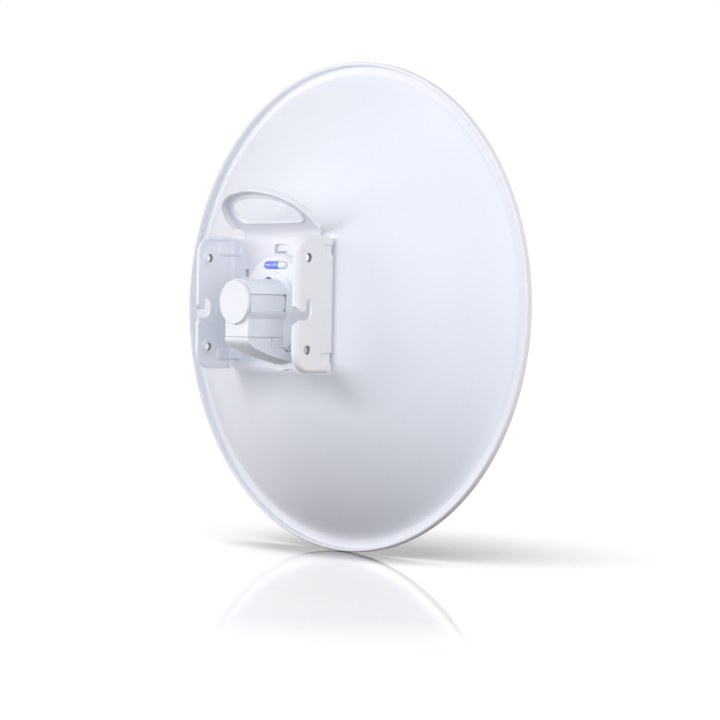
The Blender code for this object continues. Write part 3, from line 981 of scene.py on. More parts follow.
@dataclass
class Bracket:
    """The sheet-metal bracket: web, two ears with rolled edges, pressed darts and the handle."""

    sheet: float = 2.3
    ear_face: float = 64.5
    ear_half_height: float = 56.0
    ear_rear_y: float = -93.8
    ear_corner: float = 15.5
    lip_radius: float = 4.0
    lip_flat: float = 1.8
    lip_end_y: float = -57.6
    web_rear_y: float = -53.1
    bend_inner: float = 4.2
    half_height: float = 54.4
    hole_y: float = -81.0
    hole_half_spacing: float = 37.5
    hole_radius: float = 3.5
    hole_collar_radius: float = 5.0
    hole_collar_depth: float = 2.1
    dart_mid_z: float = 44.3
    dart_half_height: float = 5.5
    dart_wall: float = 2.6
    dart_round: float = 4.0
    dart_ramp: float = 3.4
    dart_depth: float = 1.35
    dart_start_y: float = -71.0
    dart_end_x: float = 49.3
    dart_facets: int = 6
    feed_hole: Flat = (0.0, 0.5)
    feed_hole_radius: float = 22.0
    window_half: Flat = (8.5, 4.2)
    window_middle: Flat = (-1.1, 45.8)
    window_corner: float = 3.4
    slot_half: Flat = (2.3, 3.05)
    slot_x: float = 43.7
    slot_z: float = 25.8
    slot_corner: float = 0.5
    pin_hole: Flat = (-5.8, -49.4)
    pin_hole_radius: float = 1.6
    shade_fill_gap: float = 0.02
    tab_half_width: float = 11.0
    tab_drop: float = 1.6
    thread_pitch: float = 1.0
    thread_depth: float = 0.26

    def channel(self) -> Form:
        """Web, bends and the roots of the ears, as one profile swept upright.

        Returns:
            The shape that the rest of the pressing is joined to.
        """
        outer = self.bend_inner + self.sheet
        front = self.web_rear_y + self.sheet
        centre = (self.ear_face - outer, front - outer)
        rear = self.lip_end_y - 2.0
        outside = [(self.ear_face, rear), *arc(centre, outer, 0.0, 90.0, 12)]
        inside = [(self.ear_face - self.sheet, rear), *arc(centre, self.bend_inner, 0.0, 90.0, 12)]
        outline = outside + [(-x, y) for x, y in outside[::-1]]
        outline += [(-x, y) for x, y in inside] + inside[::-1]
        return Form.prism("bracket_pressing", outline, Axis.Z, -self.half_height, self.half_height)

    def ear_outline(self, inset: float) -> list[Flat]:
        """The ear's side outline, moved inwards.

        Args:
            inset: How far it is moved inwards.

        Returns:
            Its points as (y, z).
        """
        low_y = self.ear_rear_y + inset
        high_z = self.ear_half_height - inset
        corner = self.ear_corner - inset
        points = [(-48.0, high_z), *arc((low_y + corner, high_z - corner), corner, 90.0, 180.0, 16)]
        return points + [(y, -z) for y, z in points[::-1]]

    def ear(self, side: int) -> Form:
        """One ear with its drawn holes and its edge rolled inwards above, behind and below.

        Args:
            side: 1 for the right ear and -1 for the left one.

        Returns:
            The shape to join to the web.
        """
        bend, inner = self.lip_radius, self.lip_radius - self.sheet
        turn = [math.pi / 16 * n for n in range(9)]
        steps = [(bend - bend * math.sin(a), bend - bend * math.cos(a)) for a in turn]
        steps += [(0.0, bend + self.lip_flat), (self.sheet, bend + self.lip_flat)]
        steps += [(bend - inner * math.sin(a), bend - inner * math.cos(a)) for a in turn[::-1]]
        rings = []
        for inset, depth in steps:
            rings.append([(side * (self.ear_face - depth), y, z) for y, z in self.ear_outline(inset)])
        ear = Form.loft("ear", rings)
        holes = [self.bolt_hole(side, z) for z in (self.hole_half_spacing, -self.hole_half_spacing)]
        ear.join(*(collar for collar, _ in holes))
        ear.cut(*(bore for _, bore in holes))
        return ear.cut(Form.box("ear_front", (-70.0, self.lip_end_y, -70.0), (70.0, 0.0, 70.0)))

    def dart_path(self, depth: float, late: float, out: float) -> list[Flat]:
        """Plan line across the right bend.

        Args:
            depth: How deep in the dart the line lies.
            late: How far inside the dart's ends the line starts and stops.
            out: How far out through the sheet it lies.

        Returns:
            Its points as (x, y).
        """
        ear_x = self.ear_face - self.sheet + out
        web_y = self.web_rear_y + out
        start_y = self.dart_start_y + 1.3 * out + late
        end_x = self.dart_end_x + 1.3 * out + late
        bend = self.bend_inner + out
        shares = [step / self.dart_facets for step in range(self.dart_facets + 1)]
        ramp = [(self.dart_ramp * share, 0.03 - (depth + 0.03) * eased(share)) for share in shares]
        path: list[Flat] = [(ear_x + 0.03 - min(depth, 0.0), start_y - 0.2)]
        path += [(ear_x + sunk, start_y + along) for along, sunk in ramp]
        path += arc((ear_x - bend, web_y - bend), bend - depth, 0.0, 90.0, 10)
        path += [(end_x + along, web_y + sunk) for along, sunk in ramp[::-1]]
        return [*path, (end_x - 0.2, web_y + 0.03 - min(depth, 0.0))]

    def dart(self, side: int, middle_z: float, out: float) -> Form:
        """A pressed dart across a bend: the ridge inside, or the hollow outside.

        Args:
            side: 1 for the right ear and -1 for the left one.
            middle_z: The height of the dart's middle.
            out: 0 for the ridge, or the sheet's thickness for the hollow.

        Returns:
            The shape to join or to cut.
        """
        loops = []
        for step in range(-9, 10):
            rise = self.dart_half_height * math.sin(math.pi / 18.0 * step)
            wall = (self.dart_half_height - abs(rise)) / self.dart_wall
            depth = mixed(-0.06, self.dart_depth, eased(wall))
            past = max(abs(rise) - self.dart_half_height + self.dart_round, 0.0)
            late = self.dart_round - math.sqrt(max(self.dart_round**2 - past * past, 0.0))
            path = self.dart_path(depth, late, out)
            if out == 0.0:
                path += self.dart_path(-1.2, late, out)[::-1]
            else:
                far = self.ear_face + 3.0
                path += [(path[-1][0], -47.0), (far, -47.0), (far, path[0][1])]
            loops.append([(side * x, y, middle_z + rise) for x, y in path])
        return Form.loft("dart", loops)

    def hook_notch(self) -> Form:
        """The hook slot that is cut into both ears from behind.

        Returns:
            The shape to cut.
        """
        rear = self.ear_rear_y - 6.0
        outline = [(rear, -25.6), (-90.3, -14.2), (-89.4, -13.55), (-88.4, -13.4), (-83.2, -13.3)]
        outline += [(-81.4, -12.8), (-79.8, -11.8), (-78.5, -10.3), (-77.7, -8.4), (-77.3, -6.0)]
        outline += [(-77.25, -3.0), (-77.3, 0.2), (-77.7, 1.8), (-78.5, 3.1), (-79.7, 4.0), (-81.0, 4.2)]
        outline += [(-82.3, 3.7), (-83.3, 2.6), (-83.85, 1.0), (-83.9, -4.6), (-84.3, -5.6), (-85.2, -6.1)]
        outline += [(-89.3, -6.1), (-90.2, -5.6), (rear, 4.2)]
        return Form.prism("hook_notch", outline, Axis.X, -80.0, 80.0)

    def bolt_hole(self, side: int, z: float) -> tuple[Form, Form]:
        """A drawn bolt hole: its collar inside the ear, and the bore with its rolled mouth.

        Args:
            side: 1 for the right ear and -1 for the left one.
            z: The hole's height.

        Returns:
            The collar to join and the bore to cut.
        """
        inside, face, r = self.ear_face - self.sheet, self.ear_face, self.hole_collar_radius
        deep = inside - self.hole_collar_depth
        collar = [(r + 1.3, inside + 0.6), (r + 1.0, inside + 0.05), (r + 0.3, inside - 0.4)]
        collar += [(r, inside - 1.1), (r - 0.05, deep + 0.4), (r - 0.45, deep)]
        r = self.hole_radius
        bore = [(r, deep - 1.0), (r, face - 1.3), (r + 0.15, face - 0.8), (r + 0.5, face - 0.35)]
        bore += [(r + 1.2, face + 0.02), (r + 1.2, face + 2.0)]
        middle = (self.hole_y, z)
        return (
            Form.turned("hole_collar", [(radius, side * x) for radius, x in collar], Axis.X, middle, 48),
            Form.turned("hole_bore", [(radius, side * x) for radius, x in bore], Axis.X, middle, 48),
        )

    def thread(self, name: str, side: int, z: float) -> None:
        """The tapped lining of a bolt hole: a thin ring with a thread on its inside.

        Args:
            name: The ring's name.
            side: 1 for the right ear and -1 for the left one.
            z: The hole's height.
        """
        start = self.ear_face - self.sheet - self.hole_collar_depth + 0.1
        end, steps, spokes = self.ear_face - 1.2, 56, 48
        rings = []
        for step in range(steps + 1):
            x = start + (end - start) * step / steps
            ring = []
            for spoke in range(spokes):
                phase = (x / self.thread_pitch - spoke / spokes) % 1.0
                crest = self.thread_depth * (1.0 - abs(2.0 * phase - 1.0))
                radius = self.hole_radius - 0.08 - crest
                angle = 2.0 * math.pi * spoke / spokes
                y = self.hole_y + radius * math.cos(angle)
                ring.append((side * x, y, z + radius * math.sin(angle)))
            rings.append(ring)
        for x in (end, start):
            outline = circle((self.hole_y, z), self.hole_radius - 0.02, spokes)
            rings.append([Axis.X.place(side * x, point) for point in outline])
        Form.loft(name, rings, closed=True).soften(0.0, angle=60.0).dress(ZINC, "bracket")

    def openings(self) -> list[Form]:
        """What is cut through the web: the window, the hole behind the collar, side slots and pin hole.

        Returns:
            The shapes to cut.
        """
        outlines = {
            "window": rounded_rectangle(*self.window_half, self.window_corner, 6, self.window_middle),
            "feed_hole": circle(self.feed_hole, self.feed_hole_radius, 60),
            "pin_hole": circle(self.pin_hole, self.pin_hole_radius, 24),
            "side_slot_right": self.slot_outline(self.slot_x, 0.0),
            "side_slot_left": self.slot_outline(-self.slot_x, 0.0),
        }
        return [Form.prism(name, outline, Axis.Y, *THROUGH) for name, outline in outlines.items()]

    def slot_outline(self, x: float, gap: float) -> list[Flat]:
        """The outline of a side slot or of its seal.

        Args:
            x: Where its middle lies.
            gap: How much smaller than the slot it is all round.

        Returns:
            The outline's points.
        """
        half_x, half_z = self.slot_half
        return rounded_rectangle(half_x - gap, half_z - gap, self.slot_corner - gap, 3, (x, self.slot_z))

    def build(self) -> None:
        """Join the parts of the pressing, cut its openings, dress it, line the bolt holes and fill the other
        openings with painted shade.
        """
        form = self.channel()
        form.join(self.ear(1), self.ear(-1), CarryHandle().form())
        low = self.half_height + self.tab_drop
        tab = [(-self.tab_half_width, -50.0), (-9.0, -self.half_height - 0.1)]
        tab += [(-4.0, -low + 0.3), (0.0, -low)]
        tab += [(-x, z) for x, z in tab[-2::-1]]
        form.join(Form.prism("web_tab", tab, Axis.Y, self.web_rear_y, self.web_rear_y + self.sheet))
        spots = [(side, z) for side in (1, -1) for z in (self.dart_mid_z, -self.dart_mid_z)]
        form.join(*(self.dart(side, z, 0.0) for side, z in spots))
        form.cut(*(self.dart(side, z, self.sheet) for side, z in spots))
        form.cut(self.hook_notch(), *self.openings())
        form.soften(0.35)
        form.dress(PAINT, "bracket", ["bracket"])
        self.fill_openings()

    def fill_openings(self) -> None:
        """Line the bolt holes with thread, and fill the side slots and the pin hole with painted shade."""
        for side, hand in ((1, "right"), (-1, "left")):
            self.thread("bolt_thread_upper_" + hand, side, self.hole_half_spacing)
            self.thread("bolt_thread_lower_" + hand, side, -self.hole_half_spacing)
        # Painted shade: grey pieces in the side slots and a dark one in the pin hole, where the openings
        # show only shadow.
        depth = (self.web_rear_y + 1.1, self.web_rear_y + self.sheet - 0.05)
        for name, x in (("slot_painted_shade_right", self.slot_x), ("slot_painted_shade_left", -self.slot_x)):
            shade_fill = Form.prism(name, self.slot_outline(x, self.shade_fill_gap), Axis.Y, *depth)
            shade_fill.soften(0.15).dress(GREY_GAP_SHADE, "bracket")
        outline = circle(self.pin_hole, self.pin_hole_radius - self.shade_fill_gap, 24)
        Form.prism("pin_hole_painted_shade", outline, Axis.Y, *depth).soften(0.15).dress(DARK_GAP_SHADE, "bracket")


@dataclass
class Collar:
    """The round moulding on the web that carries the radio."""

    radius: float = 42.0
    front_y: float = -53.4
    face_y: float = -60.0
    face_radius: float = 38.9
    bore_radius: float = 16.3
    barrel_z: float = 0.5
    screw: Flat = (-9.4, 17.6)
    recess_middle: Flat = (5.5, 22.0)
    recess_narrow: float = 0.6
    recess_depth: float = 1.2
    vial_clearance: float = 0.22
    cross_half: Flat = (1.9, 0.4)
    segments: int = 144

    def moulding(self) -> Form:
        """The disc with its sloping edge.

        Returns:
            The shape before it is cut.
        """
        r, flat, face = self.radius, self.face_radius, self.face_y
        profile = [(r, self.front_y), (r, face + 3.5), (r - 0.1, face + 3.1), (r - 0.4, face + 2.6)]
        profile += [(flat + 0.5, face + 0.4), (flat, face + 0.1), (flat - 0.6, face)]
        return Form.turned("collar_moulding", profile, Axis.Y, (0.0, 0.0), self.segments)

    def recess(self) -> Form:
        """The lens-shaped hollow that gives a screwdriver its way in.

        Returns:
            The shape to cut.
        """
        outline = [(-15.4, 12.0), (-15.4, 21.2), (-13.2, 23.2), (-10.2, 25.2), (-6.1, 26.5), (-2.0, 27.0)]
        outline += [(2.1, 26.8), (5.2, 26.0), (7.0, 24.7), (5.0, 22.9), (3.2, 21.6), (1.3, 20.0)]
        outline += [(0.2, 18.0), (-0.4, 12.0)]
        (x_deep, z_deep), narrow = self.recess_middle, self.recess_narrow
        deep = [(mixed(x_deep, x, narrow), mixed(z_deep, z, narrow)) for x, z in outline]
        rings = [[Axis.Y.place(self.face_y + self.recess_depth, point) for point in deep]]
        rings += [[Axis.Y.place(y, point) for point in outline] for y in (self.face_y, self.face_y - 4.0)]
        return Form.loft("recess", rings)

    def screw_hole(self) -> Form:
        """The way to the sunk screw."""
        return Form.turned("screw_hole", [(4.6, -70.0), (4.6, -56.4), (1.0, -56.0)], Axis.Y, self.screw, 48)

    def build(self) -> None:
        """Make the moulding, cut its bore, the vial's pocket and the screw's recess, and dress it."""
        form = self.moulding()
        bore = circle((0.0, self.barrel_z), self.bore_radius, 60)
        pocket = LevelVial().capsule("pocket", self.vial_clearance)
        form.cut(Form.prism("bore", bore, Axis.Y, -70.0, -40.0), pocket)
        form.cut(self.recess())
        form.cut(self.screw_hole())
        form.soften(0.3, angle=28.0)
        form.dress(SHELL, "collar", ["collar"])
        self.screw_head()

    def screw_head(self) -> None:
        """The sunk pan-head screw with its cross recess."""
        profile = [(4.0, -56.5), (4.0, -57.1), (3.7, -57.8), (2.9, -58.4), (1.6, -58.7), (0.6, -58.75)]
        head = Form.turned("collar_screw", profile, Axis.Y, self.screw, 40)
        x, z = self.screw
        bars = []
        for half_x, half_z in (self.cross_half, self.cross_half[::-1]):
            bars.append(Form.box("cross", (x - half_x, -60.0, z - half_z), (x + half_x, -57.6, z + half_z)))
        head.cut(*bars).soften(0.12).dress(ZINC, "collar")


@dataclass
class LevelVial:
    """The small level: a round-ended tube with dyed spirit and a bubble at its right end."""

    radius: float = 3.15
    half_length: float = 13.8
    shift_x: float = 1.0
    middle: Flat = (-59.6, 32.1)
    spirit_start: float = -11.1
    bubble_start: float = 5.0
    segments: int = 40

    def profile(self, grow: float) -> list[Flat]:
        """The whole tube's profile.

        Args:
            grow: How much larger than the tube the shape is.

        Returns:
            Pairs of radius and place along X.
        """
        radius, straight = self.radius + grow, self.half_length - self.radius
        turn = [math.radians(4 + 86 * n / 9) for n in range(10)]
        left = [(radius * math.sin(a), -straight - radius * math.cos(a)) for a in turn]
        return [(r, x + self.shift_x) for r, x in left + [(r, -x) for r, x in left[::-1]]]

    def skin(self, name: str, profile: Sequence[Flat]) -> Form:
        """A round body in the tube's place."""
        return Form.turned(name, profile, Axis.X, self.middle, self.segments)

    def capsule(self, name: str, grow: float) -> Form:
        """The whole tube, grown by a clearance."""
        return self.skin(name, self.profile(grow))

    def build(self) -> None:
        """Make the spirit, the bubble and the tube's clear end, which together fill the tube."""
        full, r = self.profile(0.0), self.radius
        start, end = self.spirit_start, self.bubble_start
        spirit = [(r * 0.55, start), (r * 0.8, start + 0.25), (r - 0.02, start + 0.8)]
        spirit += [(r, end - 0.5), (r * 0.9, end - 0.2), (r * 0.75, end)]
        bubble = [(r * 0.75, end + 0.15), (r * 0.92, end + 0.3), (r, end + 0.9)]
        bubble += [(radius, x) for radius, x in full if x > end]
        clear_end = [(radius, x) for radius, x in full if x < start - 0.4]
        clear_end += [(r, start - 0.3), (r * 0.9, start - 0.1)]
        for name, profile, finish, nodes in (
            ("vial_spirit", spirit, DYE_AND_PAINTED_LIGHT, ["level_vial"]),
            ("vial_bubble", bubble, BUBBLE, []),
            ("vial_end", clear_end, BUBBLE, []),
        ):
            self.skin(name, profile).soften(0.0, angle=50.0).dress(finish, "level_vial", nodes)


@dataclass
class RadioHousing:
    """The radio's body: a barrel along the beam and a port column under it."""

    rear_radius: float = 19.55
    front_radius: float = 20.05
    shoulder_radius: float = 24.3
    middle_z: float = 0.4
    rear_y: float = -101.6
    front_y: float = -60.3
    column_half: float = 14.5
    seam_z: float = -27.8
    latch_half: float = 6.75
    latch_gap: float = 0.3
    latch_face: float = 17.45
    latch_back: float = 15.2
    latch_tip_y: float = -63.9
    catch_y: float = -63.35
    foot_steps: int = 6
    foot_start_y: float = -62.4
    relief: float = 1.1
    relief_place: Flat = (-64.3, 5.95)

    def column(self) -> Form:
        """The port column with rounded upright edges."""
        outline = rounded_rectangle(self.column_half, 18.3, 1.1, 4, (0.0, -83.6))
        return Form.prism("column", outline, Axis.Z, self.seam_z, -3.0)

    def body(self) -> Form:
        """The slightly tapered barrel, which runs out into the collar with a hollow shoulder.

        Returns:
            The shape that the rest of the body is joined to.
        """
        front, rear, r = self.front_y, self.rear_y, self.rear_radius
        profile = [(self.shoulder_radius, front), (self.shoulder_radius - 0.4, front - 0.12)]
        profile += [(22.4, front - 0.55), (21.2, front - 1.15), (20.5, front - 1.8), (20.15, front - 2.5)]
        profile += [(self.front_radius, front - 3.2), (r, rear + 0.6), (r - 0.2, rear + 0.2)]
        profile += [(r - 0.6, rear)]
        return Form.turned("radio_body", profile, Axis.Y, (0.0, self.middle_z), 128)

    def foot(self) -> Form:
        """The flared foot where the column meets the collar, rounded off below.

        Returns:
            The shape to join.
        """
        rings = []
        for z, rear, flare, drop in (
            (-9.6, -66.0, 8.5, 0.0),
            (self.seam_z, -66.0, 8.5, 0.0),
            (self.seam_z - 0.01, -64.5, 8.5, 0.0),
            (-29.0, -64.5, 8.3, 0.0),
            (-30.6, -64.5, 7.7, 0.2),
            (-32.2, -64.5, 6.6, 0.4),
            (-33.8, -64.5, 4.9, 0.7),
            (-35.2, -64.5, 2.7, 1.0),
            (-36.2, -64.4, 0.5, 1.3),
        ):
            half, start = self.column_half, self.foot_start_y
            side = [(half - 0.02, rear, z), (half, start, z)]
            for step in range(1, self.foot_steps + 1):
                share = step / self.foot_steps
                side.append((half + flare * share**2.2, start + 2.1 * share, z - drop * share))
            rings.append(side + [(-x, y, height) for x, y, height in side[::-1]])
        return Form.loft("foot", rings)

    def catch(self, side: int) -> Form:
        """The pad in front of a side latch that its tip snaps against.

        Args:
            side: 1 for the right and -1 for the left.

        Returns:
            The shape to join.
        """
        low, high, root, steps = -8.3, 8.5, side * 12.0, 10
        rings = []
        for y, radius in ((-65.6, 20.2), (-65.4, 20.35), (-63.0, 20.4), (-60.9, 23.6), (-60.3, 24.5)):
            ring = [(root, y, low)]
            for step in range(steps + 1):
                z = mixed(low, high, step / steps)
                ring.append((side * math.sqrt(radius**2 - (z - self.middle_z) ** 2), y, z))
            rings.append([*ring, (root, y, high)])
        return Form.loft("catch", rings)

    def reliefs(self, side: int) -> list[Form]:
        """The round holes at the corners of a side latch's tip.

        Args:
            side: 1 for the right and -1 for the left.

        Returns:
            The shapes to cut.
        """
        low, high = sorted((side * 6.0, side * 26.0))
        outlines = [circle(place, self.relief, 24) for place in self.tip_corners()]
        return [Form.prism("relief", outline, Axis.X, low, high) for outline in outlines]

    def tip_corners(self) -> list[Flat]:
        """Where the upper and the lower relief hole lie, seen from the side."""
        y, rise = self.relief_place
        return [(y, self.middle_z + turn * rise) for turn in (1, -1)]

    def latch_seat(self, side: int) -> Form:
        """The cut round a side latch: straight above, sloped below and eased in front of the tip.

        Args:
            side: 1 for the right and -1 for the left.

        Returns:
            The shape to cut.
        """
        near, far = sorted((side * 14.9, side * 26.0))
        low = self.middle_z - self.latch_half - 0.1
        high = self.middle_z + self.latch_half + self.latch_gap
        seat = Form.box("seat", (near, self.rear_y - 5.0, low), (far, self.catch_y, high))
        slope = [(side * 17.3, low + 0.02), (side * 21.8, low + 0.02), (side * 21.8, low - 4.2)]
        start = self.catch_y - 0.02
        ease = [(side * 18.3, start), (side * 26.0, start), (side * 26.0, self.catch_y + 5.0)]
        return seat.join(
            Form.prism("slope", slope, Axis.Y, self.rear_y - 4.0, self.relief_place[0]),
            Form.prism("ease", ease, Axis.Z, low + 0.03, high - 0.03),
        )

    def build(self) -> None:
        """Join barrel, column and foot, cut the seats, dress the body and add both latches."""
        tongue = [(-66.0, -33.0), (-66.0, -35.5), (-64.2, -36.2), (-62.3, -36.85), (-60.3, -37.95)]
        tongue += [(-58.5, -38.9), (-57.0, -39.2), (-57.0, -33.0)]
        half = self.column_half - 0.03
        form = self.body()
        form.join(self.column(), self.foot(), self.catch(1), self.catch(-1))
        form.join(Form.prism("tongue", tongue, Axis.X, -half, half))
        collar = Collar()
        form.cut(self.latch_seat(1), self.latch_seat(-1), collar.recess(), collar.screw_hole())
        form.cut(*self.reliefs(1), *self.reliefs(-1))
        form.cut(Form.box("pry_notch", (-2.1, -104.0, -18.4), (2.1, -100.4, -16.8)))
        form.soften(0.3, angle=30.0)
        form.dress(SHELL, "radio_housing", ["radio_housing"])
        for name, side in (("side_latch_right", 1), ("side_latch_left", -1)):
            self.latch(name, side)

    def latch(self, name: str, side: int) -> None:
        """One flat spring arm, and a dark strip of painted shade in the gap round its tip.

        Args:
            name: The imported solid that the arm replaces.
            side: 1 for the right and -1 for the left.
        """
        back, front, tip = self.latch_back, self.latch_face, self.latch_tip_y
        rings = []
        for y, sunk in ((self.rear_y + 0.3, 0.0), (-67.0, 0.0), (-65.4, 0.05), (-64.5, 0.25), (tip, 0.55)):
            face = front - sunk
            middle = ((face + back) / 2.0, self.middle_z)
            outline = rounded_rectangle((face - back) / 2.0, self.latch_half, 0.35, 3, middle)
            rings.append([(side * x, y, z) for x, z in outline])
        arm = Form.loft(name + "_arm", rings).cut(*self.reliefs(side))
        arm.soften(0.0, angle=30.0).dress(SHELL, name, [name])
        # Painted shade: a dark strip fills the gap round the tip and the relief holes, where there is only
        # shadow.
        low, high = sorted((side * (back + 0.1), side * (front - 1.0)))
        bottom, top = self.middle_z - 6.6, self.middle_z + 6.6
        tip_gap_shade = Form.box(name + "_seal", (low, tip + 0.03, bottom), (high, self.catch_y - 0.03, top))
        for place in self.tip_corners():
            outline = circle(place, self.relief - 0.03, 24)
            tip_gap_shade.join(Form.prism("gap_shade_end", outline, Axis.X, low + 0.02, high - 0.02))
        tip_gap_shade.soften(0.0).dress(DARK_GAP_SHADE, name)


@dataclass
class EndCap:
    """The round cap on the barrel's rear end, bare and slightly dished."""

    radius: float = 18.1
    middle_z: float = 0.7
    front_y: float = -101.95
    rear_y: float = -105.3

    def build(self) -> None:
        """Turn the cap and dress it."""
        r, front, back = self.radius, self.front_y, self.rear_y
        profile = [(r - 1.4, front), (r - 0.5, front - 0.1), (r, front - 0.5), (r, back + 0.8)]
        profile += [(r - 0.1, back + 0.35), (r - 0.4, back + 0.1), (r - 0.9, back), (r - 1.6, back + 0.04)]
        profile += [(r - 2.2, back + 0.16), (10.0, back + 0.22), (1.0, back + 0.24)]
        disc = Form.turned("end_cap_disc", profile, Axis.Y, (0.0, self.middle_z), 128)
        disc.soften(0.0, angle=35.0).dress(CAP, "end_cap", ["end_cap"])


@dataclass
class PortCover:
    """The swept cover under the column, with a push mark on each side."""

    half_width: float = 14.5
    rear_y: float = -101.6
    front_y: float = -53.9
    top_z: float = -28.15
    collar_clear: float = 42.35
    crown: float = 3.0
    mark_depth: float = 0.8
    steps: int = 24

    def side_outline(self, across: float) -> list[Flat]:
        """The cover's outline at a place across it.

        Args:
            across: From -1 at the left side to 1 at the right side.

        Returns:
            Points as (y, z).
        """
        under_collar = -math.sqrt(self.collar_clear**2 - (self.half_width * across) ** 2)
        upper = [(self.front_y, under_collar), (-60.1, under_collar), (-60.4, -38.35), (-62.4, -37.15)]
        upper += [(-64.3, -36.55), (-64.85, -35.9), (-64.85, self.top_z)]
        upper += [(self.rear_y + 0.4, self.top_z), (self.rear_y, self.top_z - 0.4)]
        lower = [(self.rear_y, -30.0), (-101.3, -31.2), (-100.4, -32.8), (-98.8, -34.4), (-96.0, -36.0)]
        lower += [(-92.4, -37.6), (-88.4, -39.1), (-84.0, -40.8), (-80.0, -42.2), (-75.0, -43.7)]
        lower += [(-70.0, -45.0), (-65.0, -46.0), (-60.0, -46.8), (-56.5, -47.3), (self.front_y, -47.6)]
        sag = self.crown * (1.0 - across * across)
        span = self.front_y - self.rear_y
        return upper + [(y, z - sag * (y - self.rear_y) / span) for y, z in lower]

    def push_mark(self, side: int) -> list[Form]:
        """The push mark on one side: a bar and a chevron inside a corner line, all sunk into the face.

        Args:
            side: 1 for the right and -1 for the left.

        Returns:
            The shapes to cut.
        """
        low, high = sorted((side * (self.half_width - self.mark_depth), side * (self.half_width + 2.0)))
        corner = [(-75.9, -28.0), (-75.0, -28.0), (-75.0, -36.0), (-64.0, -36.0), (-64.0, -36.8)]
        corner += [(-75.9, -36.8)]
        bar = [(-71.9, -30.9), (-66.3, -30.9), (-66.3, -31.8), (-71.9, -31.8)]
        tip = [(-72.2, -33.7), (-71.6, -33.0), (-69.1, -34.1), (-66.6, -33.0), (-66.0, -33.7)]
        tip += [(-69.1, -35.2)]
        return [Form.prism("mark", outline, Axis.X, low, high) for outline in (corner, bar, tip)]

    def build(self) -> None:
        """Loft the cover from side to side, press the marks and dress it."""
        rings = []
        for step in range(self.steps + 1):
            across = -1.0 + 2.0 * step / self.steps
            rings.append([(self.half_width * across, y, z) for y, z in self.side_outline(across)])
        form = Form.loft("port_cover_shell", rings)
        form.cut(*self.push_mark(1), *self.push_mark(-1))
        form.soften(0.3, angle=38.0)
        form.dress(COVER, "port_cover", ["port_cover"])


@dataclass
class Feed:
    """The feed in front of the bowl: tube, ring at the bowl's hole and head at the focus."""

    tube_radius: float = 16.0
    middle_z: float = 0.5
    tube_rear_y: float = -59.9
    tube_front_y: float = 88.0
    head_radius: float = 27.0
    head_rear_y: float = 76.0
    head_front_y: float = 101.6
    ring_radius: float = 34.0
    ring_rear_y: float = -48.6
    clearance: float = 0.3
    segments: int = 96

    def tube(self) -> Form:
        """The tube, with a shallow groove round it in front of the ring.

        Returns:
            The shape.
        """
        r = self.tube_radius
        profile = [(r, self.tube_rear_y), (r, -20.0), (r - 0.35, -19.6), (r - 0.35, -18.4), (r, -18.0)]
        profile += [(r, self.tube_front_y)]
        return Form.turned("feed_tube_shell", profile, Axis.Y, (0.0, self.middle_z), self.segments)

    def ring(self) -> Form:
        """The ring, from its flat flange up to its neck round the tube.

        Returns:
            The shape.
        """
        back, bore, r = self.ring_rear_y, self.tube_radius + self.clearance, self.ring_radius
        profile = [(bore, back), (r, back), (r, back + 1.4), *arc((r - 0.8, back + 1.4), 0.8, 0.0, 80.0, 4)]
        profile += [(28.0, back + 3.6), (24.0, back + 5.4), (22.0, back + 7.4), (21.0, back + 9.0)]
        profile += [(bore, back + 9.0)]
        middle = (0.0, self.middle_z)
        return Form.turned("feed_ring_moulding", profile, Axis.Y, middle, self.segments, closed=True)

    def head(self) -> Form:
        """The head: a cup over the tube's end, with a groove round it and a button in its front.

        Returns:
            The shape.
        """
        r, back, y = self.head_radius, self.head_rear_y, self.head_front_y
        bore, floor = self.tube_radius + self.clearance, self.tube_front_y + 0.6
        profile = [(bore, back), (self.tube_radius + 3.0, back), (r - 0.8, back + 8.2), (r, back + 9.0)]
        profile += [(r, y - 14.0), (r - 0.5, y - 13.6), (r - 0.5, y - 12.4), (r, y - 12.0)]
        profile += arc((r - 9.0, y - 9.0), 9.0, 0.0, 81.0, 12)[:-1]
        profile += [(r - 8.0, y - 0.15), (6.0, y), (6.0, floor), (bore, floor)]
        middle = (0.0, self.middle_z)
        cup = Form.turned("feed_head_cup", profile, Axis.Y, middle, self.segments, closed=True)
        button = [(6.2, floor + 0.1), (6.2, y - 0.1), (5.4, y), (1.0, y)]
        return cup.join(Form.turned("button", button, Axis.Y, middle, 48))

    def build(self) -> None:
        """Dress the three pieces."""
        self.tube().soften(0.0).dress(SHELL, "feed_tube", ["feed_tube"])
        self.ring().soften(0.25).dress(SHELL, "feed_ring", ["feed_ring"])
        self.head().soften(0.25).dress(SHELL, "feed_head", ["feed_head"])


class LightRole(Enum):
    """What a studio light does."""

    KEY = "key"
    TOP = "top"
    SIDE = "side"
    BACK = "back"
    LOW_FILL = "low_fill"


@dataclass(frozen=True)
class SoftLight:
    """A far, wide softbox, placed by its direction in degrees as seen from the antenna.

    Azimuth 0 is straight behind the dish and 90 is on its right. The spread is the softbox's width.
    """

    role: LightRole
    azimuth: float
    elevation: float
    strength: float
    colour: str
    spread: float = 38.0

    def build(self) -> None:
        """Make the light and point it."""
        data = bpy.data.lights.new(f"{self.role.value}_light", "SUN")
        data.energy = self.strength
        data.angle = math.radians(self.spread)
        data.color = linear(self.colour)[:3]
        lamp = bpy.data.objects.new(data.name, data)
        bpy.context.scene.collection.objects.link(lamp)
        az, el = math.radians(self.azimuth), math.radians(self.elevation)
        towards = Vector((math.sin(az) * math.cos(el), -math.cos(az) * math.cos(el), math.sin(el)))
        lamp.rotation_euler = (-towards).to_track_quat("-Z", "Y").to_euler()


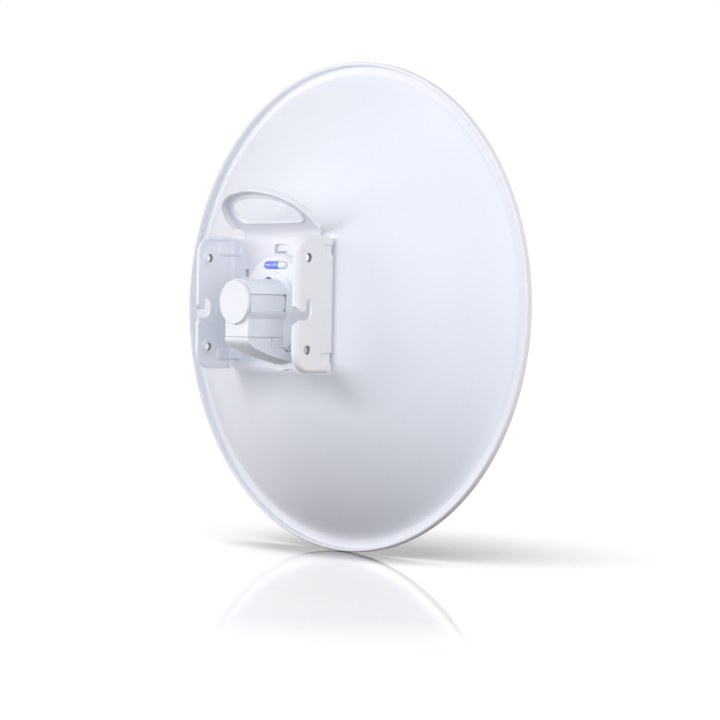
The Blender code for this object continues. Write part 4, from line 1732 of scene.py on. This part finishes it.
LIGHTS = (
    SoftLight(LightRole.KEY, -40.0, 12.0, 1.2, "#FFF6F0"),
    SoftLight(LightRole.KEY, 0.0, 12.0, 0.695, "#CEE1FF"),
    SoftLight(LightRole.SIDE, 40.0, 12.0, 0.53, "#FFFEF9"),
    SoftLight(LightRole.SIDE, 80.0, 12.0, 0.627, "#FFF1E9"),
    SoftLight(LightRole.TOP, 60.0, 42.0, 0.563, "#DEEFFF"),
    SoftLight(LightRole.TOP, 0.0, 65.0, 0.398, "#FFFEF9"),
    SoftLight(LightRole.TOP, 180.0, 75.0, 0.4, "#FFFEF9"),
    SoftLight(LightRole.BACK, 180.0, 12.0, 0.9, "#F8FAFF"),
    SoftLight(LightRole.BACK, -120.0, -15.0, 0.624, "#A0B4FF"),
    SoftLight(LightRole.BACK, 120.0, -15.0, 0.766, "#FFEBC9"),
    SoftLight(LightRole.LOW_FILL, -60.0, -15.0, 0.64, "#EFF7FF"),
    SoftLight(LightRole.LOW_FILL, 0.0, -15.0, 0.28, "#FFE4BC"),
    SoftLight(LightRole.LOW_FILL, 60.0, -15.0, 0.78, "#E1EFFF"),
)


@dataclass
class Studio:
    """White floor, white surroundings, soft lights and the camera.

    Lengths here are in metres from the frame's origin. Only the two places gloss_middle and target, and
    names that end in mm, are in the maker's millimetres. Angles are in degrees.
    """

    floor_z: float = -0.2122
    floor_half: float = 30.0
    floor_colour: str = "#A4A4A4"
    floor_glow: float = 0.85
    floor_gloss: float = 0.37
    shade_reach: float = 0.4
    shade_dark: float = 0.61
    shade_clear: float = 0.92
    shade_lift: float = 0.33
    lift_rear_y: float = 0.035
    lift_front_y: float = 0.094
    mist_mm: float = 166.7
    gloss_middle: Corner = (0.0, 26.0, 0.0)
    gloss_near: float = 0.45
    gloss_far: float = 0.64
    flag_half: float = 0.3
    flag_front: float = 0.1
    flag_drop: float = 0.001
    azimuth: float = 46.09
    elevation: float = 1.20
    roll: float = 1.07
    distance: float = 2.0386
    target: Corner = (0.0, 40.0, -47.27)
    focal_px: float = 2357.46

    def camera(self) -> None:
        """Set the camera at the photograph's place, roll and focal length."""
        az, el, roll = (math.radians(value) for value in (self.azimuth, self.elevation, self.roll))
        back = Vector((math.sin(az) * math.cos(el), -math.cos(az) * math.cos(el), math.sin(el)))
        right = Vector((math.cos(az), math.sin(az), 0.0))
        up = right.cross(-back)
        rolled_right = right * math.cos(roll) + up * math.sin(roll)
        rolled_up = up * math.cos(roll) - right * math.sin(roll)
        placed = Matrix((rolled_right, rolled_up, back)).transposed().to_4x4()
        placed.translation = to_world(self.target) + back * self.distance
        data = bpy.data.cameras.new("camera")
        data.sensor_width = SENSOR_WIDTH
        data.lens = self.focal_px / IMAGE_WIDTH * SENSOR_WIDTH
        camera = bpy.data.objects.new("camera", data)
        bpy.context.scene.collection.objects.link(camera)
        camera.matrix_world = placed
        bpy.context.scene.camera = camera

    def panel(self, name: str, half: float, front: float, z: float) -> bpy.types.Object:
        """A flat panel.

        Args:
            name: Its name.
            half: How far it reaches to each side and to the rear.
            front: How far it reaches to the front.
            z: Its height.

        Returns:
            The panel, without a material.
        """
        mesh = bpy.data.meshes.new(name)
        corners = [(-half, -half, z), (half, -half, z), (half, front, z), (-half, front, z)]
        mesh.from_pydata(corners, [], [(0, 1, 2, 3)])
        item = bpy.data.objects.new(name, mesh)
        bpy.context.scene.collection.objects.link(item)
        return item

    def floor(self) -> None:
        """A lit table top of white acrylic with a painted shadow round the bowl's foot; it mirrors the rim
        faintly and keeps light off the bowl.
        """
        floor = self.panel("floor", self.floor_half, self.floor_half, self.floor_z)
        floor.visible_diffuse = False
        floor.visible_shadow = False
        floor.data.materials.append(self.acrylic())

    def acrylic(self) -> bpy.types.Material:
        """Opal acrylic, lit from inside under a polished skin.

        The body is milky, so it glows evenly. Its glow carries a painted shadow: it dims softly where the
        bowl stands over it.
        The skin's faint mist blurs what it mirrors. The mirror image fades away from the rim.

        Returns:
            The material.
        """
        made = fresh_material("opal_acrylic_painted_shadow")
        made.cycles.emission_sampling = "NONE"
        tree = made.node_tree
        place = add_node(tree, "ShaderNodeTexCoord").outputs["Object"]
        lit = add_node(tree, "ShaderNodeAddShader")
        body = add_node(tree, "ShaderNodeBsdfDiffuse", {"Color": linear(self.floor_colour)})
        tree.links.new(body.outputs["BSDF"], lit.inputs[0])
        # The glow carries the painted shadow round the bowl's foot.
        tree.links.new(self.glow_with_painted_shadow(tree, place), lit.inputs[1])
        mist_size = {"Scale": repeats(self.mist_mm), "Detail": 2.0}
        mist = add_node(tree, "ShaderNodeTexNoise", mist_size, {"Vector": place})
        spread = {"To Min": 0.035, "To Max": 0.06}
        blur = add_node(tree, "ShaderNodeMapRange", spread, {"Value": mist.outputs["Fac"]}).outputs["Result"]
        gloss = add_node(tree, "ShaderNodeBsdfGlossy", {"Color": linear("#FFFFFF")}, {"Roughness": blur})
        away = add_node(tree, "ShaderNodeVectorMath", {"operation": "DISTANCE"}, {"Vector": place})
        away.inputs[1].default_value = (*to_world(self.gloss_middle)[:2], self.floor_z)
        reach = {"From Min": self.gloss_near, "From Max": self.gloss_far}
        reach |= {"To Min": self.floor_gloss, "To Max": 0.0}
        fade = add_node(tree, "ShaderNodeMapRange", reach, {"Value": away.outputs["Value"]})
        both = add_node(tree, "ShaderNodeMixShader", links={"Fac": fade.outputs["Result"]})
        tree.links.new(lit.outputs["Shader"], both.inputs[1])
        tree.links.new(gloss.outputs["BSDF"], both.inputs[2])
        add_node(tree, "ShaderNodeOutputMaterial", links={"Surface": both.outputs["Shader"]})
        return made

    def glow_with_painted_shadow(self, tree: Tree, place: Socket) -> Socket:
        """The light from inside, with a painted shadow: dimmed where the bowl hides the sky, but less so
        behind the rim.

        Args:
            tree: The material's node tree.
            place: The place on the table top.

        Returns:
            The glowing surface with its painted shadow.
        """
        # Painted shadow: ambient occlusion from the bowl dims the glow, and a ramp along Y lightens it
        # behind the rim.
        hidden = {"samples": 16, "Distance": self.shade_reach}
        open_sky = add_node(tree, "ShaderNodeAmbientOcclusion", hidden)
        along = add_node(tree, "ShaderNodeSeparateXYZ", links={"Vector": place}).outputs["Y"]
        ramp = {"From Min": self.lift_rear_y, "From Max": self.lift_front_y}
        ramp |= {"To Min": self.shade_lift, "To Max": 0.0}
        lift = add_node(tree, "ShaderNodeMapRange", ramp, {"Value": along})
        softer = add_node(tree, "ShaderNodeMath", {"operation": "ADD"}, {"Value": open_sky.outputs["AO"]})
        tree.links.new(lift.outputs["Result"], softer.inputs[1])
        shade = {"From Min": self.shade_dark, "From Max": self.shade_clear, "To Max": self.floor_glow}
        level = add_node(tree, "ShaderNodeMapRange", shade, {"Value": softer.outputs["Value"]})
        white = {"Color": linear("#FFFFFF")}
        strength = {"Strength": level.outputs["Result"]}
        return add_node(tree, "ShaderNodeEmission", white, strength).outputs["Emission"]

    def flag(self) -> None:
        """A black flag just under the table top: it keeps the lights from below off the bowl's foot."""
        flag = self.panel("flag", self.flag_half, self.flag_front, self.floor_z - self.flag_drop)
        for seen in ("visible_camera", "visible_diffuse", "visible_glossy", "visible_transmission"):
            setattr(flag, seen, False)
        felt = fresh_material("black_felt")
        matt = {"Color": linear("#050505"), "Roughness": 1.0}
        shader = add_node(felt.node_tree, "ShaderNodeBsdfDiffuse", matt)
        add_node(felt.node_tree, "ShaderNodeOutputMaterial", links={"Surface": shader.outputs["BSDF"]})
        flag.data.materials.append(felt)

    def surroundings(self) -> None:
        """White walls that show behind the dish and in its gloss, and give no other light."""
        world = bpy.context.scene.world or bpy.data.worlds.new("studio")
        bpy.context.scene.world = world
        world.use_nodes = True
        tree = world.node_tree
        tree.nodes.clear()
        path = add_node(tree, "ShaderNodeLightPath")
        white = add_node(tree, "ShaderNodeBackground", {"Color": linear("#FFFFFF"), "Strength": 1.0})
        black = add_node(tree, "ShaderNodeBackground", {"Color": linear("#000000"), "Strength": 0.0})
        both = add_node(tree, "ShaderNodeMixShader", links={"Fac": path.outputs["Is Diffuse Ray"]})
        tree.links.new(white.outputs["Background"], both.inputs[1])
        tree.links.new(black.outputs["Background"], both.inputs[2])
        add_node(tree, "ShaderNodeOutputWorld", links={"Surface": both.outputs["Shader"]})

    def build(self) -> None:
        """Set up everything that isn't part of the antenna."""
        bpy.context.scene.view_settings.view_transform = "Standard"
        self.camera()
        self.floor()
        self.flag()
        self.surroundings()
        for light in LIGHTS:
            light.build()
        LOG.info("studio: %d lights", len(LIGHTS))


def main() -> None:
    """Load the frame, build every sub-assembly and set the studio."""
    logging.basicConfig(level=logging.INFO, format="%(name)s: %(message)s")
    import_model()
    parts = (Reflector(), Bracket(), Collar(), LevelVial(), RadioHousing(), EndCap(), PortCover(), Feed())
    for part in parts:
        part.build()
        LOG.info("built %s", type(part).__name__)
    Studio().build()


if __name__ == "__main__":
    main()
